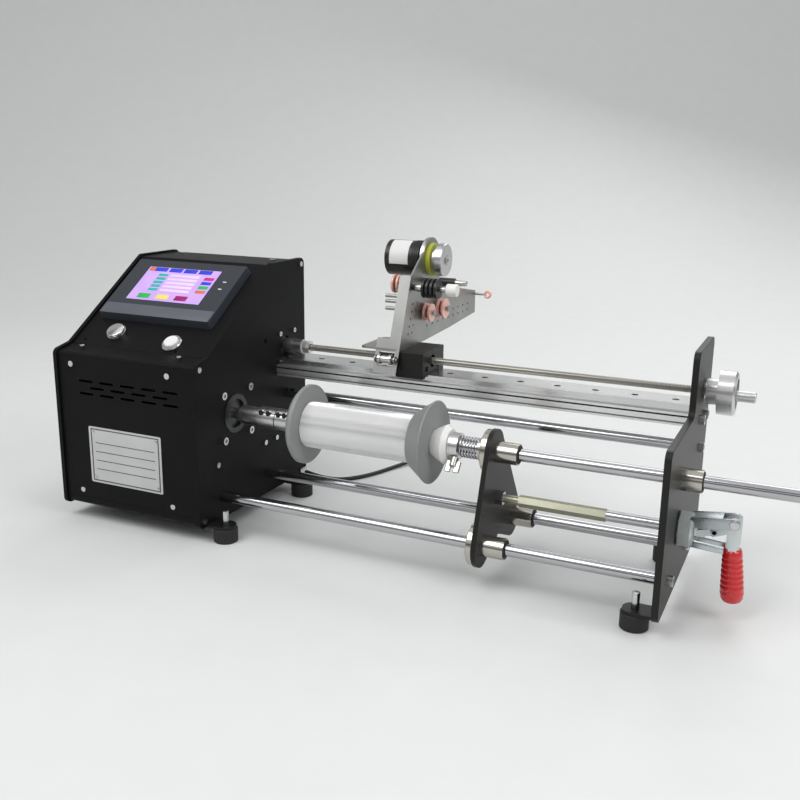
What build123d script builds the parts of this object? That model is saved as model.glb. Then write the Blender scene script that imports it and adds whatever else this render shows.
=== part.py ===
from build123d import *
from math import atan2, cos, degrees, pi, radians, sin, tan
import os

os.makedirs("parts", exist_ok=True)

# ---- driving dimensions, millimetres -------------------------------------
CAB_W = 188.0          # cabinet width over both side plates
PLATE_T = 5.0          # side plate thickness
END_X = 469.5          # right plate's outer face to the end plate
END_T = 6.0            # end plate thickness
TAIL_END = 600.0       # free end of the tail shaft
HEAD_T = 2.0           # button head height
ARM_BACK = 306.0       # rear edge of the wire guide arm
FRONT_Y = -72.0        # front edge of the side plates
BACK_Y = 150.0         # rear edge of the side plates
PLATE_Z0 = 16.0        # lower edge of the side plates
TOP_Z = 284.0          # top edge of the side plates
LEDGE_Z = 194.0        # where the front edge meets the ledge
SHEET = 1.5            # cover sheet thickness
INSET = 2.5            # covers lie this far inside the plates' outline
RUN = 0.06             # running clearance on a radius
GAP = 0.3              # free gap between different bodies

# row frame: x = 0 and y = 0 in the middle of the outline, z = 0 on the floor
X0 = -(TAIL_END - CAB_W - HEAD_T) / 2     # outer face of the right plate
Y0 = -(ARM_BACK + FRONT_Y) / 2            # spindle axis
AXIS_Z = 128.0         # spindle axis height

ROD_R = 6.0
ROD_LOW_Z = 42.0
ROD_FRONT_Y = Y0 - 30.0
ROD_REAR_Y = Y0 + 60.0
ROD_UP_Y = Y0 + 106.0
SCREW_Y = Y0 + 105.0   # lead screw axis
SCREW_Z = 186.0
SCREW_R = 4.0
CLAMP_Y = Y0 + 4.0     # toggle clamp axis
CLAMP_Z = 80.0
BEAM_Y = Y0 + 105.0
RAIL_TOP = 174.0
XL = X0 - CAB_W + PLATE_T                 # inner face of the left plate
XR = X0 - PLATE_T                         # inner face of the right plate
IN_W = XR - XL
XE = X0 + END_X                           # inner face of the end plate
XF = XE + END_T                           # outer face of the end plate

PROFILE = [
    (Y0 + FRONT_Y, PLATE_Z0), (Y0 + FRONT_Y, LEDGE_Z), (Y0 - 47.5, LEDGE_Z + 5),
    (Y0 + 79, TOP_Z), (Y0 + BACK_Y, TOP_Z), (Y0 + BACK_Y, PLATE_Z0),
]
SLOPE = atan2(TOP_Z - LEDGE_Z - 5, 79 + 47.5)
SLOPE_PLANE = Plane(
    origin=(X0, Y0 - 47.4, LEDGE_Z + 5.2),
    x_dir=(1, 0, 0),
    z_dir=(0, -sin(SLOPE), cos(SLOPE)),
)


def save(part, name):
    part.label = name
    export_step(part, f"parts/{name}.step")
    print(name, round(part.volume), len(part.solids()))


# ---- cabinet side plates -------------------------------------------------
MOTOR_SQ = 50.0        # spindle motor's screw square
STEP_SQ = 31.0         # traverse motor's screw square
PILOT_R = 21.6         # spindle motor's pilot ring
STEP_PILOT_R = 11.0    # traverse motor's pilot

with BuildPart() as left_side_plate:
    with BuildSketch(Plane.YZ.offset(X0 - CAB_W)):
        with BuildLine():
            FilletPolyline(*PROFILE, radius=7, close=True)
        make_face()
    extrude(amount=PLATE_T)
    chamfer(left_side_plate.faces().sort_by(Axis.X)[0].edges(), 0.4)
save(left_side_plate.part, "left_side_plate")

with BuildPart() as right_side_plate:
    with BuildSketch(Plane.YZ.offset(XR)):
        with BuildLine():
            FilletPolyline(*PROFILE, radius=7, close=True)
        make_face()
    extrude(amount=PLATE_T)
    chamfer(right_side_plate.faces().sort_by(Axis.X)[-1].edges(), 0.4)
    with BuildSketch(Plane.YZ.offset(XR)):
        with Locations((Y0, AXIS_Z)):
            Circle(PILOT_R)
            with GridLocations(MOTOR_SQ, MOTOR_SQ, 2, 2):
                Circle(2.6)
        with Locations((SCREW_Y, SCREW_Z)):
            Circle(STEP_PILOT_R)
            with GridLocations(STEP_SQ, STEP_SQ, 2, 2):
                Circle(1.6)
        with Locations((Y0 + 62.4, 197.5)):
            Circle(2.2)
    extrude(amount=PLATE_T, mode=Mode.SUBTRACT)
save(right_side_plate.part, "right_side_plate")

# ---- folded covers -------------------------------------------------------
with BuildSketch(Plane.YZ.offset(XL)) as cover_ring:
    with BuildLine():
        FilletPolyline(*PROFILE, radius=7, close=True)
    make_face()
    offset(amount=-INSET, mode=Mode.REPLACE)
    offset(amount=-SHEET, mode=Mode.SUBTRACT)

SEAM_LOW = 28.2        # base pan's flange ends here
SEAM = 0.3
SEAM_CONSOLE = Y0 - 46.5

with BuildPart() as base_pan:
    extrude(cover_ring.sketch, amount=IN_W)
    with BuildSketch(Plane.YZ.offset(XL)):
        with Locations((Y0, 0)):
            Rectangle(600, 2 * SEAM_LOW)
    extrude(amount=IN_W, mode=Mode.INTERSECT)
save(base_pan.part, "base_pan")

with BuildPart() as front_cover:
    extrude(cover_ring.sketch, amount=IN_W)
    with BuildSketch(Plane.YZ.offset(XL)):
        with BuildLine():
            Polyline(
                (Y0 - 90, SEAM_LOW + SEAM), (Y0 - 90, 230),
                (SEAM_CONSOLE, 230), (SEAM_CONSOLE, SEAM_LOW + SEAM), close=True,
            )
        make_face()
    extrude(amount=IN_W, mode=Mode.INTERSECT)
    with BuildSketch(Plane.XZ.offset(-(Y0 - 60))):
        for row, (z, x, count) in enumerate([(162, -146, 5), (155, -131, 4), (148, -146, 5)]):
            for i in range(count):
                with Locations((X0 + x + i * 28.2, z)):
                    SlotOverall(19, 2.6)
    extrude(amount=20, mode=Mode.SUBTRACT)
save(front_cover.part, "front_cover")

HMI_X = X0 - 96.2      # touchscreen centre
HMI_S = 90.0           # along the slope from its lower edge
HMI_W = 153.0
HMI_H = 96.0
BUTTON_X = X0 - 55.2
BUTTON_S = 14.8
SOCKET_X = X0 - 132.0
SOCKET_S = 19.6
BUTTON_HOLE = 9.5

with BuildPart() as console_panel:
    extrude(cover_ring.sketch, amount=IN_W)
    with BuildSketch(Plane.YZ.offset(XL)):
        with BuildLine():
            Polyline(
                (SEAM_CONSOLE + SEAM, 180), (SEAM_CONSOLE + SEAM, 320),
                (Y0 + 170, 320), (Y0 + 170, 262), (Y0 + 120, 262), (Y0 + 40, 180), close=True,
            )
        make_face()
    extrude(amount=IN_W, mode=Mode.INTERSECT)
    with BuildSketch(SLOPE_PLANE.offset(-8)):
        with Locations((HMI_X - X0, HMI_S)):
            Rectangle(HMI_W - 14, HMI_H - 12)
        with Locations((BUTTON_X - X0, BUTTON_S), (SOCKET_X - X0, SOCKET_S)):
            Circle(BUTTON_HOLE)
        with Locations((-172 + 2, 7.8), (-45, 4.5)):
            Circle(1.4)
    extrude(amount=12, mode=Mode.SUBTRACT)
save(console_panel.part, "console_panel")

with BuildPart() as rear_cover:
    extrude(cover_ring.sketch, amount=IN_W)
    with BuildSketch(Plane.YZ.offset(XL)):
        with BuildLine():
            Polyline(
                (Y0 + 120, SEAM_LOW + SEAM), (Y0 + 120, 262 - SEAM),
                (Y0 + 170, 262 - SEAM), (Y0 + 170, SEAM_LOW + SEAM), close=True,
            )
        make_face()
    extrude(amount=IN_W, mode=Mode.INTERSECT)
    with BuildSketch(Plane.XZ.offset(-(Y0 + 140))):
        for z in (180, 192, 204, 216):
            with Locations((X0 - 94, z)):
                SlotOverall(90, 4)
        with Locations((X0 - 62, 50)):
            Circle(6.0)
    extrude(amount=-20, mode=Mode.SUBTRACT)
save(rear_cover.part, "rear_cover")

COVER_Y = Y0 + FRONT_Y + INSET             # front face of the front cover
with BuildPart() as nameplate:
    with BuildSketch(Plane.XZ.offset(-COVER_Y)):
        with Locations((X0 - 97, 80)):
            RectangleRounded(98, 64, 2)
    extrude(amount=0.5)
save(nameplate.part, "nameplate")

# ---- console fittings ----------------------------------------------------
HMI_PROUD = 6.5
with BuildPart() as touchscreen_housing:
    with BuildSketch(SLOPE_PLANE.offset(-INSET)):
        with Locations((HMI_X - X0, HMI_S)):
            RectangleRounded(HMI_W, HMI_H, 4)
    extrude(amount=INSET + HMI_PROUD, taper=12)
    with BuildSketch(SLOPE_PLANE.offset(-32)):
        with Locations((HMI_X - X0, HMI_S)):
            Rectangle(HMI_W - 16, HMI_H - 14)
    extrude(amount=32 - INSET)
    with BuildSketch(SLOPE_PLANE.offset(HMI_PROUD - 1.6)):
        with Locations((HMI_X - X0 - 2.8, HMI_S + 6.5)):
            Rectangle(100, 56)
    extrude(amount=4, mode=Mode.SUBTRACT)
save(touchscreen_housing.part, "touchscreen_housing")

with BuildPart() as touchscreen_glass:
    with BuildSketch(SLOPE_PLANE.offset(HMI_PROUD - 1.6)):
        with Locations((HMI_X - X0 - 2.8, HMI_S + 6.5)):
            Rectangle(100, 56)
    extrude(amount=1.4)
save(touchscreen_glass.part, "touchscreen_glass")

with BuildPart() as panel_socket:
    with BuildSketch(SLOPE_PLANE.offset(-INSET)):
        with Locations((SOCKET_X - X0, SOCKET_S)):
            Circle(11)
    extrude(amount=4.5)
    with BuildSketch(SLOPE_PLANE.offset(-INSET)):
        with Locations((SOCKET_X - X0, SOCKET_S)):
            Circle(BUTTON_HOLE)
    extrude(amount=-16)
    with BuildSketch(SLOPE_PLANE.offset(2)):
        with Locations((SOCKET_X - X0, SOCKET_S)):
            Circle(7.5)
    extrude(amount=-9, mode=Mode.SUBTRACT)
    with BuildSketch(SLOPE_PLANE.offset(-7)):
        with Locations((SOCKET_X - X0, SOCKET_S)):
            with PolarLocations(4, 4):
                Circle(0.9)
    extrude(amount=6)
save(panel_socket.part, "panel_socket")

CAP_R = 8.0
PRESS = 2.0            # push button stroke
with BuildPart() as button_ring:
    with BuildSketch(SLOPE_PLANE.offset(-INSET)):
        with Locations((BUTTON_X - X0, BUTTON_S)):
            Circle(11.5)
    extrude(amount=3)
    chamfer(button_ring.faces().sort_by(Axis.Z)[-1].edges(), 1.0)
    with BuildSketch(SLOPE_PLANE.offset(-INSET)):
        with Locations((BUTTON_X - X0, BUTTON_S)):
            Circle(BUTTON_HOLE)
    extrude(amount=-20)
    with BuildSketch(SLOPE_PLANE.offset(2)):
        with Locations((BUTTON_X - X0, BUTTON_S)):
            Circle(CAP_R + RUN)
    extrude(amount=-12, mode=Mode.SUBTRACT)
save(button_ring.part, "button_ring")

with BuildPart() as push_button:
    with BuildSketch(SLOPE_PLANE.offset(-6)):
        with Locations((BUTTON_X - X0, BUTTON_S)):
            Circle(CAP_R)
    extrude(amount=9)
    chamfer(push_button.faces().sort_by(Axis.Z)[-1].edges(), 0.8)
save(push_button.part, "push_button")

# ---- motors inside the cabinet -------------------------------------------
with BuildPart() as spindle_motor:
    with BuildSketch(Plane.YZ.offset(XR)):
        with Locations((Y0, AXIS_Z)):
            RectangleRounded(60, 60, 5)
    extrude(amount=-86)
    with BuildSketch(Plane.YZ.offset(XR - 86)):
        with Locations((Y0, AXIS_Z)):
            RectangleRounded(52, 52, 4)
    extrude(amount=-26)
    with BuildSketch(Plane.YZ.offset(XR)):
        with Locations((Y0, AXIS_Z)):
            Circle(PILOT_R)
    extrude(amount=PLATE_T + 0.8)
    with BuildSketch(Plane.YZ.offset(X0 + 0.8)):
        with Locations((Y0, AXIS_Z)):
            Circle(16)
    extrude(amount=-3.5, mode=Mode.SUBTRACT)
    with BuildSketch(Plane.YZ.offset(X0 + 0.8)):
        with Locations((Y0, AXIS_Z)):
            Circle(6 + RUN)
    extrude(amount=-70, mode=Mode.SUBTRACT)
    with BuildSketch(Plane.YZ.offset(XR)):
        with Locations((Y0, AXIS_Z)):
            with GridLocations(MOTOR_SQ, MOTOR_SQ, 2, 2):
                Circle(2.5)
    extrude(amount=-10, mode=Mode.SUBTRACT)
save(spindle_motor.part, "spindle_motor")

with BuildPart() as traverse_motor:
    with BuildSketch(Plane.YZ.offset(XR)):
        with Locations((SCREW_Y, SCREW_Z)):
            Rectangle(42, 42)
    extrude(amount=-40)
    chamfer(traverse_motor.edges().filter_by(Axis.X), 4)
    with BuildSketch(Plane.YZ.offset(XR)):
        with Locations((SCREW_Y, SCREW_Z)):
            Circle(STEP_PILOT_R)
    extrude(amount=2)
    with BuildSketch(Plane.YZ.offset(XR + 2)):
        with Locations((SCREW_Y, SCREW_Z)):
            Circle(2.5 + RUN)
    extrude(amount=-36, mode=Mode.SUBTRACT)
    with BuildSketch(Plane.YZ.offset(XR)):
        with Locations((SCREW_Y, SCREW_Z)):
            with GridLocations(STEP_SQ, STEP_SQ, 2, 2):
                Circle(1.5)
    extrude(amount=-5, mode=Mode.SUBTRACT)
save(traverse_motor.part, "traverse_motor")

PAN_TOP = PLATE_Z0 + INSET + SHEET
with BuildPart() as power_unit:
    with BuildSketch(Plane.XY.offset(PAN_TOP)):
        with Locations((X0 - 105, Y0 + 88)):
            Rectangle(130, 96)
    extrude(amount=36)
    with BuildSketch(Plane.XY.offset(PAN_TOP)):
        with Locations((X0 - 110, Y0 - 15)):
            with GridLocations(110, 70, 2, 2):
                Circle(3)
    extrude(amount=6)
    with BuildSketch(Plane.XY.offset(PAN_TOP + 6)):
        with Locations((X0 - 110, Y0 - 15)):
            Rectangle(122, 82)
    extrude(amount=1.6)
    with BuildSketch(Plane.XY.offset(PAN_TOP + 7.6)):
        with Locations((X0 - 140, Y0 - 20), (X0 - 105, Y0 - 30), (X0 - 80, Y0 + 5)):
            Rectangle(22, 18)
    extrude(amount=10)
save(power_unit.part, "power_unit")

# ---- spindle -------------------------------------------------------------
SLEEVE_R = 10.25
CLAMP_R = 12.0
SPLIT_X = X0 + 55.0
NOSE_R = 14.0          # bore of the spool's flanges
SPOOL_L = X0 + 86.0
SPOOL_R = X0 + 236.0
with BuildPart() as spindle_shaft:
    with BuildSketch(Plane.YZ.offset(X0 - 55)):
        with Locations((Y0, AXIS_Z)):
            Circle(6)
    extrude(amount=54.8 + 55)
    with BuildSketch(Plane.YZ.offset(X0 + 10)):
        with Locations((Y0, AXIS_Z)):
            Circle(SLEEVE_R)
    extrude(amount=24)

    with BuildSketch(Plane.YZ.offset(X0 + 55.2)):
        with Locations((Y0, AXIS_Z)):
            Circle(6)
    extrude(amount=25)
    with BuildSketch(Plane.YZ.offset(SPOOL_L - 6)):
        with Locations((Y0, AXIS_Z)):
            Circle(16)
    extrude(amount=6)
    with BuildSketch(Plane.YZ.offset(SPOOL_L)):
        with Locations((Y0, AXIS_Z)):
            Circle(NOSE_R)
    extrude(amount=7, taper=10)
save(spindle_shaft.part, "spindle_shaft")

with BuildPart() as clamp_coupling:
    with BuildSketch(Plane.YZ.offset(X0 + 34)):
        with Locations((Y0, AXIS_Z)):
            Circle(CLAMP_R)
            Circle(6, mode=Mode.SUBTRACT)
    extrude(amount=45)
    with BuildSketch(Plane.YZ.offset(SPLIT_X)):
        with Locations((Y0, AXIS_Z)):
            Circle(CLAMP_R + 1)
            Circle(8, mode=Mode.SUBTRACT)
    extrude(amount=1.2, mode=Mode.SUBTRACT)
    with BuildSketch(Plane.XY.offset(AXIS_Z)):
        with Locations((X0 + 56.5, Y0 - 9)):
            Rectangle(46, 1.2)
    extrude(amount=20, mode=Mode.SUBTRACT)
    with BuildSketch(Plane.XZ.offset(-(Y0 - 20))):
        with Locations((X0 + 39, AXIS_Z), (X0 + 47.8, AXIS_Z), (X0 + 60.2, AXIS_Z), (X0 + 67.6, AXIS_Z)):
            with Locations((0, 8)):
                Circle(3)
    extrude(amount=-14, mode=Mode.SUBTRACT)
    with BuildSketch(Plane.XZ.offset(-(Y0 - 10))):
        with Locations((X0 + 39, AXIS_Z), (X0 + 47.8, AXIS_Z), (X0 + 60.2, AXIS_Z), (X0 + 67.6, AXIS_Z)):
            with Locations((0, 8)):
                Circle(2.2)
                RegularPolygon(1.2, 6, mode=Mode.SUBTRACT)
    extrude(amount=-4)
save(clamp_coupling.part, "clamp_coupling")

FLANGE_R = 42.0
CORE_R = 24.25
LEFT_T = 8.0           # flat flange next to the spindle
RIGHT_T = 20.0         # flaring flange next to the tail cone
with BuildPart() as spool_core:
    with BuildSketch(Plane.YZ.offset(SPOOL_L + LEFT_T)):
        with Locations((Y0, AXIS_Z)):
            Circle(CORE_R)
            Circle(CORE_R - 4, mode=Mode.SUBTRACT)
    extrude(amount=SPOOL_R - SPOOL_L - LEFT_T - RIGHT_T)
save(spool_core.part, "spool_core")

with BuildPart() as spool_flanges:
    with BuildSketch(Plane.XY.offset(AXIS_Z)):
        with BuildLine():
            Polyline(
                (SPOOL_L, Y0 + NOSE_R), (SPOOL_L, Y0 + FLANGE_R - 4), (SPOOL_L + 4, Y0 + FLANGE_R),
                (SPOOL_L + LEFT_T - 0.6, Y0 + FLANGE_R), (SPOOL_L + LEFT_T, Y0 + FLANGE_R - 0.6),
                (SPOOL_L + LEFT_T, Y0 + NOSE_R), close=True,
            )
        make_face()
        with BuildLine():
            Polyline(
                (SPOOL_R, Y0 + NOSE_R), (SPOOL_R, Y0 + FLANGE_R - 0.6), (SPOOL_R - 0.6, Y0 + FLANGE_R),
                (SPOOL_R - 1.4, Y0 + FLANGE_R), (SPOOL_R - RIGHT_T, Y0 + 28.5),
                (SPOOL_R - RIGHT_T, Y0 + NOSE_R), close=True,
            )
        make_face()
    revolve(axis=Axis((X0, Y0, AXIS_Z), (1, 0, 0)))
save(spool_flanges.part, "spool_flanges")

# ---- lead screw ----------------------------------------------------------
with BuildPart() as screw_coupling:
    with BuildSketch(Plane.YZ.offset(X0 - 37)):
        with Locations((SCREW_Y, SCREW_Z)):
            Circle(2.5)
    extrude(amount=40)
    with BuildSketch(Plane.YZ.offset(X0 + 1)):
        with Locations((SCREW_Y, SCREW_Z)):
            Circle(8.35)
    extrude(amount=24)
    with BuildSketch(Plane.YZ.offset(X0 + 25)):
        with Locations((SCREW_Y, SCREW_Z)):
            RegularPolygon(7.5, 6)
    extrude(amount=9.6)
    for x in (8, 10.5, 13):
        with BuildSketch(Plane.YZ.offset(X0 + x)):
            with Locations((SCREW_Y, SCREW_Z)):
                Circle(9)
                Circle(6.6, mode=Mode.SUBTRACT)
        extrude(amount=0.9, mode=Mode.SUBTRACT)
    with BuildSketch(Plane.YZ.offset(X0 + 14)):
        with Locations((SCREW_Y, SCREW_Z)):
            Circle(SCREW_R)
    extrude(amount=30, mode=Mode.SUBTRACT)
save(screw_coupling.part, "screw_coupling")

HUB_X = XF + 2.5
with BuildPart() as lead_screw:
    with BuildSketch(Plane.YZ.offset(X0 + 14)):
        with Locations((SCREW_Y, SCREW_Z)):
            Circle(SCREW_R)
    extrude(amount=HUB_X + 20 - X0 - 14)
save(lead_screw.part, "lead_screw")

WHEEL_Z = SCREW_Z
with BuildPart() as handwheel:
    with BuildSketch(Plane.YZ.offset(HUB_X)):
        with Locations((SCREW_Y, WHEEL_Z)):
            Circle(12.85)
    extrude(amount=13)
    with BuildSketch(Plane.YZ.offset(HUB_X + 11)):
        with Locations((SCREW_Y, WHEEL_Z)):
            Circle(21.65)
    extrude(amount=16.5)
    chamfer(handwheel.edges().filter_by(GeomType.CIRCLE).group_by(Axis.X)[-1], 2)
    with BuildSketch(Plane.YZ.offset(HUB_X + 27.5)):
        with Locations((SCREW_Y, WHEEL_Z)):
            Circle(15)
    extrude(amount=-4, mode=Mode.SUBTRACT)
    with BuildSketch(Plane.YZ.offset(HUB_X)):
        with Locations((SCREW_Y, WHEEL_Z)):
            Circle(SCREW_R)
    extrude(amount=20, mode=Mode.SUBTRACT)
    with BuildSketch(Plane.YZ.offset(HUB_X + 14)):
        with Locations((SCREW_Y - 8, WHEEL_Z)):
            Circle(2 + RUN)
    extrude(amount=12, mode=Mode.SUBTRACT)
save(handwheel.part, "handwheel")

KNOB_X = HUB_X + 23.5 + GAP
with BuildPart() as crank_knob:
    with BuildSketch(Plane.YZ.offset(HUB_X + 15)):
        with Locations((SCREW_Y - 8, WHEEL_Z)):
            Circle(2)
    extrude(amount=12)
    with BuildSketch(Plane.YZ.offset(KNOB_X)):
        with Locations((SCREW_Y - 8, WHEEL_Z)):
            Circle(5.35)
    extrude(amount=22)
    fillet(crank_knob.edges().filter_by(GeomType.CIRCLE).group_by(Axis.X)[-1], 1.5)
save(crank_knob.part, "crank_knob")

BUSH_R = 10.5
with BuildPart() as end_bearings:
    with BuildSketch(Plane.YZ.offset(XE - 1)):
        with Locations((SCREW_Y, SCREW_Z)):
            Circle(8)
            Circle(SCREW_R + RUN, mode=Mode.SUBTRACT)
    extrude(amount=END_T + 2)
    with BuildSketch(Plane.YZ.offset(XE)):
        with Locations((Y0, AXIS_Z)):
            Circle(BUSH_R)
            Circle(ROD_R + RUN, mode=Mode.SUBTRACT)
    extrude(amount=24.5)
save(end_bearings.part, "end_bearings")

# ---- beam and rail -------------------------------------------------------
with BuildPart() as beam_extrusion:
    with BuildSketch(Plane.YZ.offset(X0)):
        with Locations((BEAM_Y, 159.5)):
            Rectangle(40, 13)
            with Locations((0, -6.5)):
                Rectangle(8, 9, mode=Mode.SUBTRACT)
                Rectangle(16, 5, mode=Mode.SUBTRACT)
                Rectangle(8, 3, mode=Mode.SUBTRACT)
    extrude(amount=END_X)
save(beam_extrusion.part, "beam_extrusion")

with BuildPart() as guide_rail:
    with BuildSketch(Plane.YZ.offset(X0 + 5)):
        with Locations((BEAM_Y, 169.0)):
            Rectangle(31, 6)
        with Locations((BEAM_Y, 172.9)):
            Rectangle(39, 2.2)
    extrude(amount=END_X - 5)
    with BuildSketch(Plane.XY.offset(RAIL_TOP)):
        for i in range(12):
            with Locations((X0 + 9 + 40 * i, BEAM_Y)):
                Circle(3.6)
    extrude(amount=-3.5, mode=Mode.SUBTRACT)
save(guide_rail.part, "guide_rail")

with BuildPart() as cross_rods:
    with BuildSketch(Plane.YZ.offset(X0)):
        with Locations((ROD_FRONT_Y, ROD_LOW_Z), (ROD_REAR_Y, ROD_LOW_Z), (ROD_UP_Y, AXIS_Z)):
            Circle(ROD_R)
    extrude(amount=END_X)
save(cross_rods.part, "cross_rods")

# ---- carriage ------------------------------------------------------------
BLOCK_X = X0 + 156.0
BLOCK_L = 32.0
BLOCK_TOP = 199.0
with BuildPart() as carriage_block:
    with BuildSketch(Plane.YZ.offset(BLOCK_X)):
        with BuildLine():
            Polyline(
                (Y0 + 78, 170), (Y0 + 78, BLOCK_TOP), (Y0 + 136, BLOCK_TOP),
                (Y0 + 136, 170), (BEAM_Y + 19.5 + GAP, 170), (BEAM_Y + 19.5 + GAP, RAIL_TOP + GAP),
                (BEAM_Y - 19.5 - GAP, RAIL_TOP + GAP), (BEAM_Y - 19.5 - GAP, 170), close=True,
            )
        make_face()
    extrude(amount=BLOCK_L)
    fillet(carriage_block.edges().filter_by(Axis.X).group_by(Axis.Z)[-1], 2)
    with BuildSketch(Plane.YZ.offset(BLOCK_X)):
        with Locations((SCREW_Y, SCREW_Z)):
            Circle(11)
    extrude(amount=-3.5)
    with BuildSketch(Plane.YZ.offset(BLOCK_X - 4)):
        with Locations((SCREW_Y, SCREW_Z)):
            Circle(SCREW_R + RUN)
    extrude(amount=20, mode=Mode.SUBTRACT)
    with BuildSketch(Plane.YZ.offset(BLOCK_X + 16)):
        with Locations((SCREW_Y, SCREW_Z)):
            Circle(7)
    extrude(amount=BLOCK_L, mode=Mode.SUBTRACT)
    with BuildSketch(Plane.YZ.offset(BLOCK_X + BLOCK_L)):
        with Locations((Y0 + 91, 179), (Y0 + 122, 179)):
            Circle(3)
    extrude(amount=1.5)
save(carriage_block.part, "carriage_block")

ARM_X = X0 + 159.0     # left face of the guide arm's plate
ARM_T = 2.0
ENC_Y = Y0 + 160.0
ENC_Z = 290.0
LEAN = 27.5 / 76.0     # forward lean of the front strip, y per z
STRIP_Y = Y0 + 78.0    # strip's rear face at z = 201
ENTRY_Y = Y0 + 70.5
ENTRY_Z = 190.0
TENSION_Y = Y0 + 110.0
TENSION_Z = 264.0
KNURL_Y = Y0 + 140.0
KNURL_Z = 268.0
UPPER = (Y0 + 139.0, 233.0)
REAR = (Y0 + 180.0, 232.0)
LEFT = (Y0 + 130.0, 264.0)
PIN_R = 2.0
EYE_Y = Y0 + 303.0
EYE_Z = 233.0

with BuildPart() as guide_bracket:
    with BuildSketch(Plane.XY.offset(BLOCK_TOP)):
        with Locations((X0 + 137.5, Y0 + 105)):
            RectangleRounded(47, 60, 6)
    extrude(amount=2)
    with BuildSketch(Plane.YZ.offset(ARM_X)):
        with BuildLine():
            Polyline(
                (Y0 + 80, BLOCK_TOP), (STRIP_Y, BLOCK_TOP + 2), (STRIP_Y + 76 * LEAN, 277),
                (Y0 + 137, 300), (Y0 + 181, 300), (Y0 + 185, 263), (Y0 + 256, 245.6),
                (Y0 + ARM_BACK, 237), (Y0 + ARM_BACK, 209), (Y0 + 220, 203), (Y0 + 135, BLOCK_TOP),
                close=True,
            )
        make_face()
        with Locations((ENC_Y, ENC_Z)):
            Circle(24.5)
    extrude(amount=ARM_T)
    with BuildSketch(Plane.YZ.offset(ARM_X)):
        with Locations((ENC_Y, ENC_Z)):
            Circle(6)
        with Locations((TENSION_Y, TENSION_Z), (KNURL_Y, KNURL_Z)):
            Circle(3 + RUN)
        for i in range(9):
            with Locations((Y0 + 150 + 16 * i, 216), (Y0 + 150 + 16 * i, 224)):
                Circle(1.5)
        for z in (214, 222, 230, 238, 246):
            with Locations((Y0 + 98 + (z - 214) * LEAN, z), (Y0 + 108 + (z - 214) * LEAN, z)):
                Circle(1.5)
    extrude(amount=ARM_T, mode=Mode.SUBTRACT)
    with BuildSketch(Plane.YZ.offset(X0 + 148)):
        with BuildLine():
            Polyline(
                (STRIP_Y - 22 * LEAN, 179), (STRIP_Y + 76 * LEAN, 277),
                (STRIP_Y + 76 * LEAN - 2, 277), (STRIP_Y - 22 * LEAN - 2, 179), close=True,
            )
        make_face()
    extrude(amount=13)
    with BuildSketch(Plane.YZ.offset(X0 + 133)):
        with BuildLine():
            Polyline(
                (STRIP_Y - 26 * LEAN, 175), (STRIP_Y + 10 * LEAN, 211),
                (STRIP_Y + 10 * LEAN - 2, 211), (STRIP_Y - 26 * LEAN - 2, 175), close=True,
            )
        make_face()
    extrude(amount=28)
    with BuildSketch(Plane.XZ.offset(-(Y0 + 60))):
        with Locations((X0 + 147, ENTRY_Z)):
            Rectangle(18, 15)
    extrude(amount=-17.5, mode=Mode.SUBTRACT)
    with BuildSketch(Plane.YZ.offset(X0 + 135)):
        with Locations((ENTRY_Y, ENTRY_Z)):
            Circle(4)
    extrude(amount=1.5)
    with BuildSketch(Plane.YZ.offset(X0 + 157.5)):
        with Locations((ENTRY_Y, ENTRY_Z)):
            Circle(4)
    extrude(amount=1.5)
    with BuildSketch(Plane.YZ.offset(X0 + 135)):
        with Locations((ENTRY_Y, ENTRY_Z)):
            Circle(PIN_R)
    extrude(amount=26)
    with BuildSketch(Plane.YZ.offset(ARM_X)):
        with Locations(UPPER, REAR):
            Circle(PIN_R)
    extrude(amount=15)
    with BuildSketch(Plane.YZ.offset(ARM_X + 15)):
        with Locations(UPPER, REAR):
            Circle(3.5)
    extrude(amount=1.5)
    with BuildSketch(Plane.YZ.offset(ARM_X)):
        with Locations(LEFT, (Y0 + 110, 239), (Y0 + 110, 247), (Y0 + 110, 253)):
            Circle(PIN_R)
    extrude(amount=-31)
    with BuildSketch(Plane.YZ.offset(ARM_X - 31)):
        with Locations(LEFT):
            Circle(3.5)
    extrude(amount=-1.5)
    with BuildSketch(Plane.YZ.offset(ARM_X)):
        with Locations((EYE_Y, EYE_Z)):
            Circle(1.6)
    extrude(amount=15)
save(guide_bracket.part, "guide_bracket")

with BuildPart() as encoder_body:
    with BuildSketch(Plane.YZ.offset(ARM_X)):
        with Locations((ENC_Y, ENC_Z)):
            Circle(15)
    extrude(amount=-7)
    with BuildSketch(Plane.YZ.offset(X0 + 152)):
        with Locations((ENC_Y, ENC_Z)):
            Circle(20)
    extrude(amount=-41)
    with BuildSketch(Plane.YZ.offset(ARM_X)):
        with Locations((ENC_Y, ENC_Z)):
            Circle(3 + RUN)
    extrude(amount=-24, mode=Mode.SUBTRACT)
    with BuildSketch(Plane.YZ.offset(X0 + 148)):
        with Locations((ENC_Y, ENC_Z)):
            Circle(21)
            Circle(19.2, mode=Mode.SUBTRACT)
    extrude(amount=-1, mode=Mode.SUBTRACT)
save(encoder_body.part, "encoder_body")

with BuildPart() as felt_disc:
    with BuildSketch(Plane.YZ.offset(ARM_X + ARM_T)):
        with Locations((ENC_Y, ENC_Z)):
            Circle(18.5)
            Circle(7, mode=Mode.SUBTRACT)
    extrude(amount=4)
save(felt_disc.part, "felt_disc")

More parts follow.
